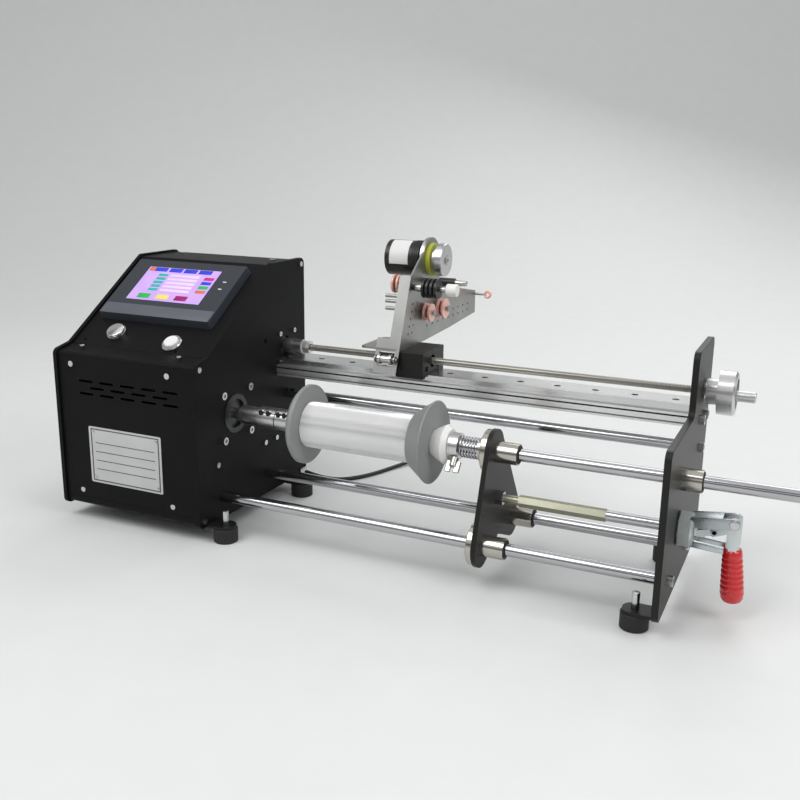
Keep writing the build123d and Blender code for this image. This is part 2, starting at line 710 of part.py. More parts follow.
with BuildPart() as measuring_wheel:
    with BuildSketch(Plane.YZ.offset(X0 + 138)):
        with Locations((ENC_Y, ENC_Z)):
            Circle(3)
    extrude(amount=34)
    with BuildSketch(Plane.YZ.offset(X0 + 166)):
        with Locations((ENC_Y, ENC_Z)):
            Circle(14)
    extrude(amount=6)
    with BuildSketch(Plane.YZ.offset(X0 + 171)):
        with Locations((ENC_Y, ENC_Z)):
            Circle(18.5)
    extrude(amount=8)
    chamfer(measuring_wheel.edges().filter_by(GeomType.CIRCLE).group_by(Axis.X)[-1], 0.8)
    with BuildSketch(Plane.YZ.offset(X0 + 179)):
        with Locations((ENC_Y, ENC_Z)):
            Circle(4)
            RegularPolygon(2.4, 6, mode=Mode.SUBTRACT)
    extrude(amount=1.5)
save(measuring_wheel.part, "measuring_wheel")

with BuildPart() as tension_shaft:
    with BuildSketch(Plane.YZ.offset(X0 + 157)):
        with Locations((TENSION_Y, TENSION_Z)):
            Circle(3)
    extrude(amount=46)
    with BuildSketch(Plane.YZ.offset(X0 + 155.5)):
        with Locations((TENSION_Y, TENSION_Z)):
            Circle(5)
    extrude(amount=3)
    with BuildSketch(Plane.YZ.offset(X0 + 163)):
        with Locations((TENSION_Y, TENSION_Z)):
            Circle(4)
    extrude(amount=11)
    for x in (174, 179, 184, 189):
        with BuildSketch(Plane.YZ.offset(X0 + x)):
            with Locations((TENSION_Y, TENSION_Z)):
                Circle(10.5)
        extrude(amount=2.6)
    with BuildSketch(Plane.YZ.offset(X0 + 174)):
        with Locations((TENSION_Y, TENSION_Z)):
            Circle(7)
    extrude(amount=17.6)
    with BuildSketch(Plane.YZ.offset(X0 + 201)):
        with Locations((TENSION_Y, TENSION_Z)):
            Circle(6.5)
    extrude(amount=11.5)
    chamfer(tension_shaft.edges().filter_by(GeomType.CIRCLE).group_by(Axis.X)[-1], 1)
save(tension_shaft.part, "tension_shaft")

with BuildPart() as knurled_knob:
    with BuildSketch(Plane.YZ.offset(X0 + 157)):
        with Locations((KNURL_Y, KNURL_Z)):
            Circle(3)
    extrude(amount=54)
    with BuildSketch(Plane.YZ.offset(X0 + 155.5)):
        with Locations((KNURL_Y, KNURL_Z)):
            Circle(4.6)
    extrude(amount=3)
    with BuildSketch(Plane.YZ.offset(X0 + 180)):
        with Locations((KNURL_Y, KNURL_Z)):
            Circle(5)
    extrude(amount=18)
    with BuildSketch(Plane.YZ.offset(X0 + 180)):
        with Locations((KNURL_Y, KNURL_Z)):
            with PolarLocations(5.1, 20):
                Circle(0.35)
    extrude(amount=18, mode=Mode.SUBTRACT)
save(knurled_knob.part, "knurled_knob")

WHEEL_T = 8.0
for name, (y, z), x, r in (
    ("guide_wheel_upper", UPPER, ARM_X + 5, 10.0),
    ("guide_wheel_rear", REAR, ARM_X + 5, 11.5),
    ("guide_wheel_left", LEFT, ARM_X - 30, 10.5),
):
    with BuildPart() as wheel:
        with BuildSketch(Plane.YZ.offset(x)):
            with Locations((y, z)):
                Circle(r)
                Circle(PIN_R + RUN, mode=Mode.SUBTRACT)
        extrude(amount=WHEEL_T)
        with BuildSketch(Plane.YZ.offset(x + 2.2)):
            with Locations((y, z)):
                Circle(r + 1)
                Circle(r - 3.5, mode=Mode.SUBTRACT)
        extrude(amount=WHEEL_T - 4.4, mode=Mode.SUBTRACT)
    save(wheel.part, name)

with BuildPart() as entry_roller:
    with BuildSketch(Plane.YZ.offset(X0 + 139)):
        with Locations((ENTRY_Y, ENTRY_Z)):
            Circle(5.5)
            Circle(PIN_R + RUN, mode=Mode.SUBTRACT)
    extrude(amount=16)
    with BuildSketch(Plane.YZ.offset(X0 + 142)):
        with Locations((ENTRY_Y, ENTRY_Z)):
            Circle(7)
            Circle(4, mode=Mode.SUBTRACT)
    extrude(amount=10, mode=Mode.SUBTRACT)
save(entry_roller.part, "entry_roller")

with BuildPart() as eyelet:
    with BuildSketch(Plane.XZ.offset(-(EYE_Y + 2.5))):
        with Locations((ARM_X + 20, EYE_Z)):
            Circle(5)
            Circle(2.4, mode=Mode.SUBTRACT)
    extrude(amount=5)
    chamfer(eyelet.edges().filter_by(GeomType.CIRCLE), 0.8)
save(eyelet.part, "eyelet")

# ---- tailstock -----------------------------------------------------------
TS_PLATE_X = X0 + 296.0
with BuildPart() as tail_cone:
    with BuildSketch(Plane.XY.offset(AXIS_Z)):
        with BuildLine():
            Polyline(
                (X0 + 226, Y0), (X0 + 226, Y0 + 8.5), (X0 + 249, Y0 + 20), (X0 + 253.7, Y0 + 16),
                (X0 + 253.7, Y0 + ROD_R + RUN), (X0 + 236, Y0 + ROD_R + RUN), (X0 + 236, Y0), close=True,
            )
        make_face()
    revolve(axis=Axis((X0, Y0, AXIS_Z), (1, 0, 0)))
save(tail_cone.part, "tail_cone")

TAIL_SEAT = 20.0       # journal at the free end for a collar or a knob
TAIL_SEAT_R = 5.0
with BuildPart() as tail_shaft:
    with BuildSketch(Plane.YZ.offset(X0 + 236 + GAP)):
        with Locations((Y0, AXIS_Z)):
            Circle(ROD_R)
    extrude(amount=TAIL_END - TAIL_SEAT - 236 - GAP)
    with BuildSketch(Plane.YZ.offset(X0 + TAIL_END - TAIL_SEAT)):
        with Locations((Y0, AXIS_Z)):
            Circle(TAIL_SEAT_R)
    extrude(amount=TAIL_SEAT)
    chamfer(tail_shaft.faces().sort_by(Axis.X)[-1].edges(), 1)
save(tail_shaft.part, "tail_shaft")

WING_TURN = 40.0       # wing screw leans this far forward from straight down
WING_X = X0 + 261.5
WING_DIR = (0, -sin(radians(WING_TURN)), -cos(radians(WING_TURN)))
WING_PLANE = Plane(origin=(WING_X, Y0, AXIS_Z), x_dir=(1, 0, 0), z_dir=WING_DIR)
with BuildPart() as tail_collar:
    with BuildSketch(Plane.YZ.offset(X0 + 254)):
        with Locations((Y0, AXIS_Z)):
            Circle(13.5)
            Circle(ROD_R, mode=Mode.SUBTRACT)
    extrude(amount=2)
    with BuildSketch(Plane.YZ.offset(X0 + 256)):
        with Locations((Y0, AXIS_Z)):
            Circle(13)
            Circle(ROD_R, mode=Mode.SUBTRACT)
    extrude(amount=8)
    with BuildSketch(WING_PLANE.offset(ROD_R - 1)):
        Circle(2 + RUN)
    extrude(amount=12, mode=Mode.SUBTRACT)
save(tail_collar.part, "tail_collar")

with BuildPart() as wing_screw:
    with BuildSketch(WING_PLANE.offset(ROD_R + GAP)):
        Circle(2)
    extrude(amount=12)
    with BuildSketch(WING_PLANE.offset(13 + GAP)):
        Circle(4)
    extrude(amount=9)
    with BuildSketch(WING_PLANE.offset(17)):
        with Locations((-4.5, 0), (4.5, 0)):
            RectangleRounded(6, 3, 1)
    extrude(amount=11)
save(wing_screw.part, "wing_screw")

SPRING_L = 20.0
SPRING_R = 9.9
WIRE_R = 0.9
SPRING_TURNS = 6
SPRING_STEPS = 16      # straight pieces in each turn of the spring
SPRING_POINTS = [
    (X0 + 264 + WIRE_R + (SPRING_L - 2 * WIRE_R) * i / (SPRING_TURNS * SPRING_STEPS),
     Y0 + SPRING_R * cos(2 * pi * i / SPRING_STEPS), AXIS_Z + SPRING_R * sin(2 * pi * i / SPRING_STEPS))
    for i in range(SPRING_TURNS * SPRING_STEPS + 1)
]
with BuildPart() as tail_spring:
    with BuildLine() as coil_line:
        Polyline(*SPRING_POINTS)
    with BuildSketch(Plane(origin=coil_line.wire() @ 0, z_dir=coil_line.wire() % 0)):
        RegularPolygon(WIRE_R, 8)
    sweep(path=coil_line.wire(), transition=Transition.RIGHT)
save(tail_spring.part, "tail_spring")

with BuildPart() as tailstock_plate:
    with BuildSketch(Plane.YZ.offset(TS_PLATE_X)):
        with BuildLine():
            Polyline(
                (ROD_FRONT_Y, ROD_LOW_Z), (Y0, AXIS_Z), (ROD_REAR_Y, ROD_LOW_Z),
                (Y0 + 20, 59), (Y0 + 10, 59), close=True,
            )
        make_face()
        offset(amount=22, mode=Mode.REPLACE)
        with Locations((Y0, AXIS_Z), (ROD_FRONT_Y, ROD_LOW_Z), (ROD_REAR_Y, ROD_LOW_Z)):
            Circle(BUSH_R, mode=Mode.SUBTRACT)
        with Locations((CLAMP_Y, CLAMP_Z)):
            Circle(3, mode=Mode.SUBTRACT)
    extrude(amount=5)
    chamfer(tailstock_plate.faces().sort_by(Axis.X)[0].outer_wire().edges(), 0.4)
save(tailstock_plate.part, "tailstock_plate")

with BuildPart() as linear_bushings:
    with BuildSketch(Plane.YZ.offset(TS_PLATE_X)):
        with Locations((Y0, AXIS_Z), (ROD_FRONT_Y, ROD_LOW_Z), (ROD_REAR_Y, ROD_LOW_Z)):
            Circle(BUSH_R)
    extrude(amount=28)
    with BuildSketch(Plane.YZ.offset(TS_PLATE_X)):
        with Locations((Y0, AXIS_Z), (ROD_FRONT_Y, ROD_LOW_Z), (ROD_REAR_Y, ROD_LOW_Z)):
            Circle(21)
    extrude(amount=-6)
    chamfer(linear_bushings.edges().filter_by(GeomType.CIRCLE).group_by(Axis.X)[0], 0.8)
    with BuildSketch(Plane.YZ.offset(TS_PLATE_X - 6)):
        with Locations((Y0, AXIS_Z)):
            Circle(11)
    extrude(amount=-6)
    with BuildSketch(Plane.YZ.offset(TS_PLATE_X - 12)):
        with Locations((ROD_FRONT_Y, ROD_LOW_Z), (ROD_REAR_Y, ROD_LOW_Z)):
            Circle(ROD_R + RUN)
        with Locations((Y0, AXIS_Z)):
            Circle(ROD_R)
    extrude(amount=40, mode=Mode.SUBTRACT)
    with BuildSketch(Plane.YZ.offset(TS_PLATE_X - 6)):
        for y, z in ((Y0, AXIS_Z), (ROD_FRONT_Y, ROD_LOW_Z), (ROD_REAR_Y, ROD_LOW_Z)):
            with Locations((y, z)):
                with PolarLocations(16, 4, start_angle=45):
                    Circle(2)
    extrude(amount=2.5, mode=Mode.SUBTRACT)
save(linear_bushings.part, "linear_bushings")

PUSH_R = 5.2
PIN_X = X0 + 495.0     # plunger's pin at rest
with BuildPart() as push_rod:
    with BuildSketch(Plane.YZ.offset(TS_PLATE_X - 5)):
        with Locations((CLAMP_Y, CLAMP_Z)):
            Circle(3)
    extrude(amount=38)
    with BuildSketch(Plane.YZ.offset(TS_PLATE_X - 4)):
        with Locations((CLAMP_Y, CLAMP_Z)):
            RegularPolygon(5.5, 6)
    extrude(amount=4)
    with BuildSketch(Plane.YZ.offset(TS_PLATE_X + 5)):
        with Locations((CLAMP_Y, CLAMP_Z)):
            RegularPolygon(7, 6)
    extrude(amount=8)
    with BuildSketch(Plane.YZ.offset(X0 + 410)):
        with Locations((CLAMP_Y, CLAMP_Z)):
            Circle(PUSH_R)
    extrude(amount=PIN_X + 4.5 - X0 - 410)
    with BuildSketch(Plane.XZ.offset(-(CLAMP_Y + 3.6))):
        with Locations((PIN_X, CLAMP_Z)):
            Rectangle(12, 12)
    extrude(amount=-4, mode=Mode.SUBTRACT)
    with BuildSketch(Plane.XZ.offset(-(CLAMP_Y - 3.6))):
        with Locations((PIN_X, CLAMP_Z)):
            Rectangle(12, 12)
    extrude(amount=4, mode=Mode.SUBTRACT)
save(push_rod.part, "push_rod")

with BuildPart() as hex_standoff:
    with BuildSketch(Plane.YZ.offset(TS_PLATE_X + 13)):
        with Locations((CLAMP_Y, CLAMP_Z)):
            Circle(4.2)
            Circle(3, mode=Mode.SUBTRACT)
    extrude(amount=17)
    with BuildSketch(Plane.YZ.offset(TS_PLATE_X + 29)):
        with Locations((CLAMP_Y, CLAMP_Z)):
            RegularPolygon(6.2, 6)
    extrude(amount=85)
    with BuildSketch(Plane.YZ.offset(TS_PLATE_X + 13)):
        with Locations((CLAMP_Y, CLAMP_Z)):
            Circle(3)
    extrude(amount=20, mode=Mode.SUBTRACT)
save(hex_standoff.part, "hex_standoff")

# ---- end plate and toggle clamp ------------------------------------------
with BuildPart() as end_plate:
    with BuildSketch(Plane.YZ.offset(XE)):
        with BuildLine():
            FilletPolyline(
                (Y0 - 72, 17), (Y0 - 72, 172), (Y0 + 50, 172), (Y0 + 50, 233), (Y0 + 150, 233),
                (Y0 + 150, 39), (Y0 + 103, 17), radius=9, close=True,
            )
        make_face()
        with Locations((Y0, AXIS_Z)):
            Circle(BUSH_R, mode=Mode.SUBTRACT)
        with Locations((SCREW_Y, SCREW_Z)):
            Circle(8, mode=Mode.SUBTRACT)
        with Locations((CLAMP_Y, CLAMP_Z)):
            Circle(PUSH_R + 1, mode=Mode.SUBTRACT)
    extrude(amount=END_T)
    chamfer(end_plate.faces().sort_by(Axis.X)[-1].outer_wire().edges(), 0.4)
save(end_plate.part, "end_plate")

PIVOT = (X0 + 524.0, 94.6)
CRANK = 20.0           # pivot to the link's pin
CRANK_AT = radians(215)
LINK_L = 13.0
PIN_C = (PIVOT[0] + CRANK * cos(CRANK_AT), PIVOT[1] + CRANK * sin(CRANK_AT))
LINK_T = 1.4
LINK_IN = 3.6 + GAP
ARM_IN = LINK_IN + LINK_T + GAP
ARM_TH = 1.6
EAR_IN = ARM_IN + ARM_TH + GAP
EAR_TH = 2.6

with BuildPart() as toggle_base:
    with BuildSketch(Plane.YZ.offset(XF)):
        with Locations((CLAMP_Y, CLAMP_Z)):
            RectangleRounded(32, 31, 3)
    extrude(amount=14)
    with BuildSketch(Plane.YZ.offset(XF)):
        with Locations((CLAMP_Y, CLAMP_Z)):
            Circle(PUSH_R + RUN)
    extrude(amount=14, mode=Mode.SUBTRACT)
    for side in (-1, 1):
        y = CLAMP_Y + side * (EAR_IN + EAR_TH / 2)
        with BuildSketch(Plane.XZ.offset(-(y + EAR_TH / 2))):
            with BuildLine():
                Polyline(
                    (XF + 13, 66), (XF + 13, 95), (PIVOT[0] - 6, PIVOT[1] + 7),
                    (PIVOT[0] + 6, PIVOT[1] + 7), (PIVOT[0] + 7, PIVOT[1] - 6), (PIVOT[0] - 7, PIVOT[1] - 7),
                    (XF + 19, 86), (XF + 18, 74), (PIVOT[0] - 6, 71), (PIVOT[0] - 7, 65.5), close=True,
                )
            make_face()
            with Locations(PIVOT):
                Circle(2.5 + RUN, mode=Mode.SUBTRACT)
        extrude(amount=EAR_TH)
save(toggle_base.part, "toggle_base")

with BuildPart() as toggle_links:
    for side in (-1, 1):
        y = CLAMP_Y + side * (LINK_IN + LINK_T / 2)
        with BuildSketch(Plane.XZ.offset(-(y + LINK_T / 2))):
            with Locations(PIN_C, (PIN_X, CLAMP_Z)):
                Circle(3.2)
            with BuildLine():
                Polyline(
                    (PIN_C[0], PIN_C[1] + 3.2), (PIN_C[0], PIN_C[1] - 3.2),
                    (PIN_X, CLAMP_Z - 3.2), (PIN_X, CLAMP_Z + 3.2), close=True,
                )
            make_face()
        extrude(amount=LINK_T)
    with BuildSketch(Plane.XZ.offset(-(CLAMP_Y + ARM_IN + ARM_TH))):
        with Locations(PIN_C):
            Circle(2)
    extrude(amount=2 * (ARM_IN + ARM_TH))
save(toggle_links.part, "toggle_links")

GRIP_R = 10.5
with BuildPart() as toggle_handle:
    for side in (-1, 1):
        y = CLAMP_Y + side * (ARM_IN + ARM_TH / 2)
        with BuildSketch(Plane.XZ.offset(-(y + ARM_TH / 2))):
            with BuildLine():
                Polyline(
                    (PIN_C[0] - 4, PIN_C[1] + 3), (PIVOT[0] - 3, PIVOT[1] + 6), (PIVOT[0] + 5.5, PIVOT[1] + 4),
                    (PIVOT[0] + 5, 64), (PIVOT[0] - 5, 64), (PIN_C[0] - 2, PIN_C[1] - 4.5), close=True,
                )
            make_face()
            with Locations(PIN_C):
                Circle(2 + RUN, mode=Mode.SUBTRACT)
        extrude(amount=ARM_TH)
    with BuildSketch(Plane.XZ.offset(-(CLAMP_Y + EAR_IN + EAR_TH))):
        with Locations(PIVOT):
            Circle(2.5)
    extrude(amount=2 * (EAR_IN + EAR_TH))
    with BuildSketch(Plane.XY.offset(62)):
        with Locations((PIVOT[0], CLAMP_Y)):
            Rectangle(9, 2 * (ARM_IN + ARM_TH))
    extrude(amount=5)
    with BuildSketch(Plane.XY.offset(24)):
        with Locations((PIVOT[0], CLAMP_Y)):
            Circle(4.5)
    extrude(amount=39)
save(toggle_handle.part, "toggle_handle")

with BuildPart() as red_grip:
    with BuildSketch(Plane.XY.offset(17)):
        with Locations((PIVOT[0], CLAMP_Y)):
            Circle(GRIP_R)
    extrude(amount=45)
    fillet(red_grip.edges().filter_by(GeomType.CIRCLE), 3)
    with BuildSketch(Plane.XY.offset(24)):
        with Locations((PIVOT[0], CLAMP_Y)):
            Circle(4.5)
    extrude(amount=50, mode=Mode.SUBTRACT)
save(red_grip.part, "red_grip")

# ---- feet ----------------------------------------------------------------
FOOT_R = 13.0
FOOT_H = 15.5
TAB_Z = FOOT_H         # the tabs lie on the feet
TABS = ((X0 + 16.4, Y0 - 49, X0, 1), (X0 + 16.4, Y0 + 111, X0, 1), (XE - 17.5, Y0 - 49, XE, -1),
        (XE - 17.5, Y0 + 111, XE, -1))
LEFT_FEET = ((X0 - 150, Y0 - 16), (X0 - 150, Y0 + 111))
with BuildPart() as foot_brackets:
    for x, y, face, way in TABS:
        with BuildSketch(Plane.XY.offset(TAB_Z)):
            with Locations((x, y)):
                Circle(11.5)
            with Locations(((x + face) / 2, y)):
                Rectangle(abs(x - face), 23)
            with Locations((x, y)):
                Circle(3.5, mode=Mode.SUBTRACT)
        extrude(amount=3)
save(foot_brackets.part, "foot_brackets")

with BuildPart() as rubber_feet:
    with BuildSketch(Plane.XY):
        for x, y, face, way in TABS:
            with Locations((x, y)):
                Circle(FOOT_R)
        with Locations(*LEFT_FEET):
            Circle(FOOT_R)
    extrude(amount=FOOT_H)
    chamfer(rubber_feet.edges().filter_by(GeomType.CIRCLE), 0.8)
    with BuildSketch(Plane.XY.offset(FOOT_H)):
        for x, y, face, way in TABS:
            with Locations((x, y)):
                Circle(3.5)
    extrude(amount=34 - FOOT_H)
    with BuildSketch(Plane.XY.offset(FOOT_H)):
        with Locations(*LEFT_FEET):
            Circle(7)
    extrude(amount=PLATE_Z0 + INSET - FOOT_H)
save(rubber_feet.part, "rubber_feet")

# ---- screws --------------------------------------------------------------
SIDE = ((140.7, 277), (-64.4, 189), (-64.8, 24), (-37, 79), (56.6, 79), (80.4, 79), (144, 21))
with BuildPart() as frame_screws:
    with BuildSketch(Plane.YZ.offset(X0)):
        for y, z in SIDE:
            with Locations((Y0 + y, z)):
                Circle(3)
    extrude(amount=HEAD_T)
    with BuildSketch(Plane.YZ.offset(X0 - CAB_W)):
        for y, z in SIDE:
            with Locations((Y0 + y, z)):
                Circle(3)
    extrude(amount=-HEAD_T)
    with BuildSketch(Plane.YZ.offset(X0)):
        with Locations((Y0, AXIS_Z)):
            with GridLocations(MOTOR_SQ, MOTOR_SQ, 2, 2):
                Circle(4.25)
        with Locations((SCREW_Y, SCREW_Z)):
            with GridLocations(STEP_SQ, STEP_SQ, 2, 2):
                Circle(2.75)
    extrude(amount=4)
    with BuildSketch(Plane.YZ.offset(X0)):
        with Locations((Y0, AXIS_Z)):
            with GridLocations(MOTOR_SQ, MOTOR_SQ, 2, 2):
                Circle(2.5)
        with Locations((SCREW_Y, SCREW_Z)):
            with GridLocations(STEP_SQ, STEP_SQ, 2, 2):
                Circle(1.5)
    extrude(amount=-PLATE_T - 4)
    with BuildSketch(Plane.YZ.offset(X0 + 4)):
        with Locations((Y0, AXIS_Z)):
            with GridLocations(MOTOR_SQ, MOTOR_SQ, 2, 2):
                RegularPolygon(2.3, 6)
        with Locations((SCREW_Y, SCREW_Z)):
            with GridLocations(STEP_SQ, STEP_SQ, 2, 2):
                RegularPolygon(1.4, 6)
    extrude(amount=-2.2, mode=Mode.SUBTRACT)
    with BuildSketch(Plane.YZ.offset(XF)):
        with Locations((ROD_FRONT_Y, ROD_LOW_Z), (ROD_REAR_Y, ROD_LOW_Z), (ROD_UP_Y, AXIS_Z),
                       (BEAM_Y + 13, 160), (BEAM_Y - 13, 160)):
            Circle(5)
            RegularPolygon(2.9, 6, mode=Mode.SUBTRACT)
    extrude(amount=4.5)
    with BuildSketch(Plane.XZ.offset(-COVER_Y)):
        with Locations((X0 - 164, 180), (X0 - 35, 180)):
            Circle(3.2)
    extrude(amount=HEAD_T)
    with BuildSketch(Plane.XY.offset(TOP_Z - INSET)):
        with Locations((X0 - 159, Y0 + 127), (X0 - 23, Y0 + 117)):
            Circle(4)
    extrude(amount=HEAD_T)
save(frame_screws.part, "frame_screws")

# ---- mains cord ----------------------------------------------------------
CORD_R = 2.5
GLAND = (X0 - 62.0, Y0 + BACK_Y - INSET, 50.0)
COIL_R = 28.0
COIL_PITCH = 5.6
TURNS = 6.75
COIL_C = (GLAND[0] - COIL_R, Y0 + 218.0)
with BuildPart() as cable_gland:
    with BuildSketch(Plane.XZ.offset(-GLAND[1])):
        with Locations((GLAND[0], GLAND[2])):
            RegularPolygon(9, 6)
    extrude(amount=-5)
    with BuildSketch(Plane.XZ.offset(-GLAND[1])):
        with Locations((GLAND[0], GLAND[2])):
            Circle(7)
    extrude(amount=-15, taper=8)
    with BuildSketch(Plane.XZ.offset(-GLAND[1])):
        with Locations((GLAND[0], GLAND[2])):
            Circle(6)
    extrude(amount=SHEET)
save(cable_gland.part, "cable_gland")


def bend_radii(points):
    radii = []
    for a, b, c in zip(points, points[1:], points[2:]):
        u = Vector(b) - Vector(a)
        v = Vector(c) - Vector(b)
        turn = radians(u.get_angle(v))
        radii.append(0.45 * min(u.length, v.length) / tan(turn / 2))
    return radii


DROP = [
    (GLAND[0], GLAND[1] + 15, GLAND[2]), (GLAND[0], Y0 + 180, GLAND[2]),
    (GLAND[0], Y0 + 200, 41), (GLAND[0], COIL_C[1], CORD_R + TURNS * COIL_PITCH),
]
FLOOR = [
    (COIL_C[0], COIL_C[1] - COIL_R, CORD_R), (X0 - 42, Y0 + 190, CORD_R), (X0 + 26, Y0 + 164, CORD_R),
    (X0 + 58, Y0 + 196, CORD_R), (X0 + 79.6, Y0 + 262.6, CORD_R), (X0 + 108, Y0 + 318, 9),
]
with BuildPart() as power_cord:
    for path in (DROP, FLOOR):
        radii = bend_radii(path)
        print("cord radii", [round(r, 1) for r in radii])
        with BuildLine() as cord_line:
            FilletPolyline(*path, radius=radii)
        with BuildSketch(Plane(origin=cord_line.wire() @ 0, z_dir=cord_line.wire() % 0)):
            Circle(CORD_R)
        sweep(path=cord_line.wire())
        print("section x length", round(pi * CORD_R ** 2 * cord_line.wire().length))
save(power_cord.part, "power_cord")

COIL_STEPS = 24        # straight pieces in each turn of the cord, each touching the coil's circle
COIL_OUT = COIL_R / cos(pi / COIL_STEPS)
COIL_ENDS = [
    (COIL_C[0], COIL_C[1] - COIL_R, CORD_R), (GLAND[0], COIL_C[1], CORD_R + TURNS * COIL_PITCH),
]
COIL_BENDS = [
    (COIL_C[0] - COIL_OUT * sin(2 * pi * (i + 0.5) / COIL_STEPS),
     COIL_C[1] - COIL_OUT * cos(2 * pi * (i + 0.5) / COIL_STEPS),
     CORD_R + COIL_PITCH * (i + 0.5) / COIL_STEPS)
    for i in range(round(TURNS * COIL_STEPS))
]
with BuildPart() as cord_coil:
    with BuildLine() as turns:
        Polyline(COIL_ENDS[0], *COIL_BENDS, COIL_ENDS[1])
    with BuildSketch(Plane(origin=turns.wire() @ 0, z_dir=turns.wire() % 0)):
        RegularPolygon(CORD_R, 12)
    sweep(path=turns.wire(), transition=Transition.RIGHT)
print("coil ends", turns.wire() @ 0, turns.wire() @ 1)
save(cord_coil.part, "cord_coil")

PLUG_END = Vector(*FLOOR[-1])
PLUG_WAY = (PLUG_END - Vector(*FLOOR[-2])).normalized()
with BuildPart() as power_plug:
    with BuildSketch(Plane(origin=PLUG_END, z_dir=PLUG_WAY)):
        Circle(6)
    extrude(amount=10, taper=-10)
    with BuildSketch(Plane(origin=PLUG_END + PLUG_WAY * 10, z_dir=PLUG_WAY)):
        Circle(8.5)
    extrude(amount=22)
    with BuildSketch(Plane(origin=PLUG_END + PLUG_WAY * 32, z_dir=PLUG_WAY)):
        with Locations((-4.5, 0), (4.5, 0)):
            Circle(2)
    extrude(amount=15)
save(power_plug.part, "power_plug")
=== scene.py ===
"""Bench winder for wire and thread spools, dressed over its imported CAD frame."""
import math

import bpy
import bmesh
from mathutils import Matrix, Vector


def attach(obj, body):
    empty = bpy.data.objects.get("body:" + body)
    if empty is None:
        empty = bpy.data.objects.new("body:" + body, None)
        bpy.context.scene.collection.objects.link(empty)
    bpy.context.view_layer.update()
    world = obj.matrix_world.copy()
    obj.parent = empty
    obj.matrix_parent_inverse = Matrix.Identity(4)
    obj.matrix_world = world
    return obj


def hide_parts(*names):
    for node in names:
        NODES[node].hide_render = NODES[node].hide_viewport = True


bl_info = {
    "name": "Wire Coil Winder",
    "version": (1, 0, 0),
    "blender": (4, 5, 0),
    "location": "View3D > Sidebar > Winder",
    "description": "Finishes, cord and fine parts of a bench coil winder",
    "category": "Object",
}

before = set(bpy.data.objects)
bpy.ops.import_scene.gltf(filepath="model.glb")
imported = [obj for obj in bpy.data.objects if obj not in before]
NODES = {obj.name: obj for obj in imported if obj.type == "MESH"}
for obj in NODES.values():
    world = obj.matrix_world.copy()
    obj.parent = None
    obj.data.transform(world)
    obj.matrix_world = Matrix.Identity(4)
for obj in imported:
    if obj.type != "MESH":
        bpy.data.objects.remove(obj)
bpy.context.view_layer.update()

# All lengths are metres in the CAD's own frame.
X0 = -0.205                    # outer face of the right side plate
Y0 = -0.117                    # spindle axis, across
AXIS_Z = 0.128                 # spindle axis, height
SCREW_Y = Y0 + 0.105           # lead screw axis
SCREW_Z = 0.186
TAIL_PLATE_X = X0 + 0.296      # tailstock plate
END_BUSH_X = X0 + 0.466        # bushing in the end plate
END_FACE_X = X0 + 0.4755       # outer face of the end plate
ROD_LOW_Z = 0.042              # the two low rods that the tailstock slides on
ENCODER_Y = Y0 + 0.160         # encoder and measuring wheel
ENCODER_Z = 0.290
TENSION_Y = Y0 + 0.110         # tension roller
TENSION_Z = 0.264
KNURL_Y = Y0 + 0.140           # knurled knob
KNURL_Z = 0.268
CLAMP_Y = Y0 + 0.004           # toggle clamp
CLAMP_Z = 0.080
PIVOT_X = X0 + 0.524           # handle's pivot
PIVOT_Z = 0.0946

# console: the slope starts above a ledge at the cabinet's front edge
TOP_Z = 0.284
LEDGE_Z = 0.194
LEDGE_RISE = 0.005
SLOPE_RUN = 0.079 + 0.0475
SLOPE = math.atan2(TOP_Z - LEDGE_Z - LEDGE_RISE, SLOPE_RUN)
SLOPE_ORIGIN = Vector((X0, Y0 - 0.0474, 0.1992))
SLOPE_UP = Vector((0, math.cos(SLOPE), math.sin(SLOPE)))
SLOPE_OUT = Vector((0, -math.sin(SLOPE), math.cos(SLOPE)))
GLASS_FACE = 0.0063            # the display's face above the slope
BEZEL_FACE = 0.0064            # the housing's face above the slope


# ---------------------------------------------------------------- settings
class WinderSizes(bpy.types.PropertyGroup):
    cord_diameter: bpy.props.FloatProperty(
        name="Cord diameter", description="Mains cord's outside diameter",
        default=0.005, unit="LENGTH")
    screw_pitch: bpy.props.FloatProperty(
        name="Thread pitch", description="Distance between two crests of the lead screw",
        default=0.002, unit="LENGTH")
    winding_pitch: bpy.props.FloatProperty(
        name="Winding pitch", description="Distance between two turns wound on the spool",
        default=0.0012, unit="LENGTH")


class WinderFinishes(bpy.types.PropertyGroup):
    black_coat: bpy.props.FloatVectorProperty(
        name="Black coat", description="Powder coat on the cabinet",
        subtype="COLOR", size=3, default=(0.0062, 0.0060, 0.0068))
    grip_red: bpy.props.FloatVectorProperty(
        name="Grip red", description="Dipped grip of the toggle clamp",
        subtype="COLOR", size=3, default=(0.62, 0.012, 0.016))
    ceramic_pink: bpy.props.FloatVectorProperty(
        name="Ceramic pink", description="Wire guide wheels and eyelet",
        subtype="COLOR", size=3, default=(0.84, 0.45, 0.37))
    felt_green: bpy.props.FloatVectorProperty(
        name="Felt green", description="Disc beside the measuring wheel",
        subtype="COLOR", size=3, default=(0.50, 0.52, 0.03))


# --------------------------------------------------------------- materials
CLOUD_SCALE = 24               # broad mottling, in Object coordinates
CLOUD_DETAIL = 6
FINE_DETAIL = 4
GLOSS_SPREAD = 0.07            # roughness varies by this much both ways
GLOSS_FLOOR = 0.03
RELIEF_DEPTH = 0.0004
COAT_ROUGHNESS = 0.12

M = {}

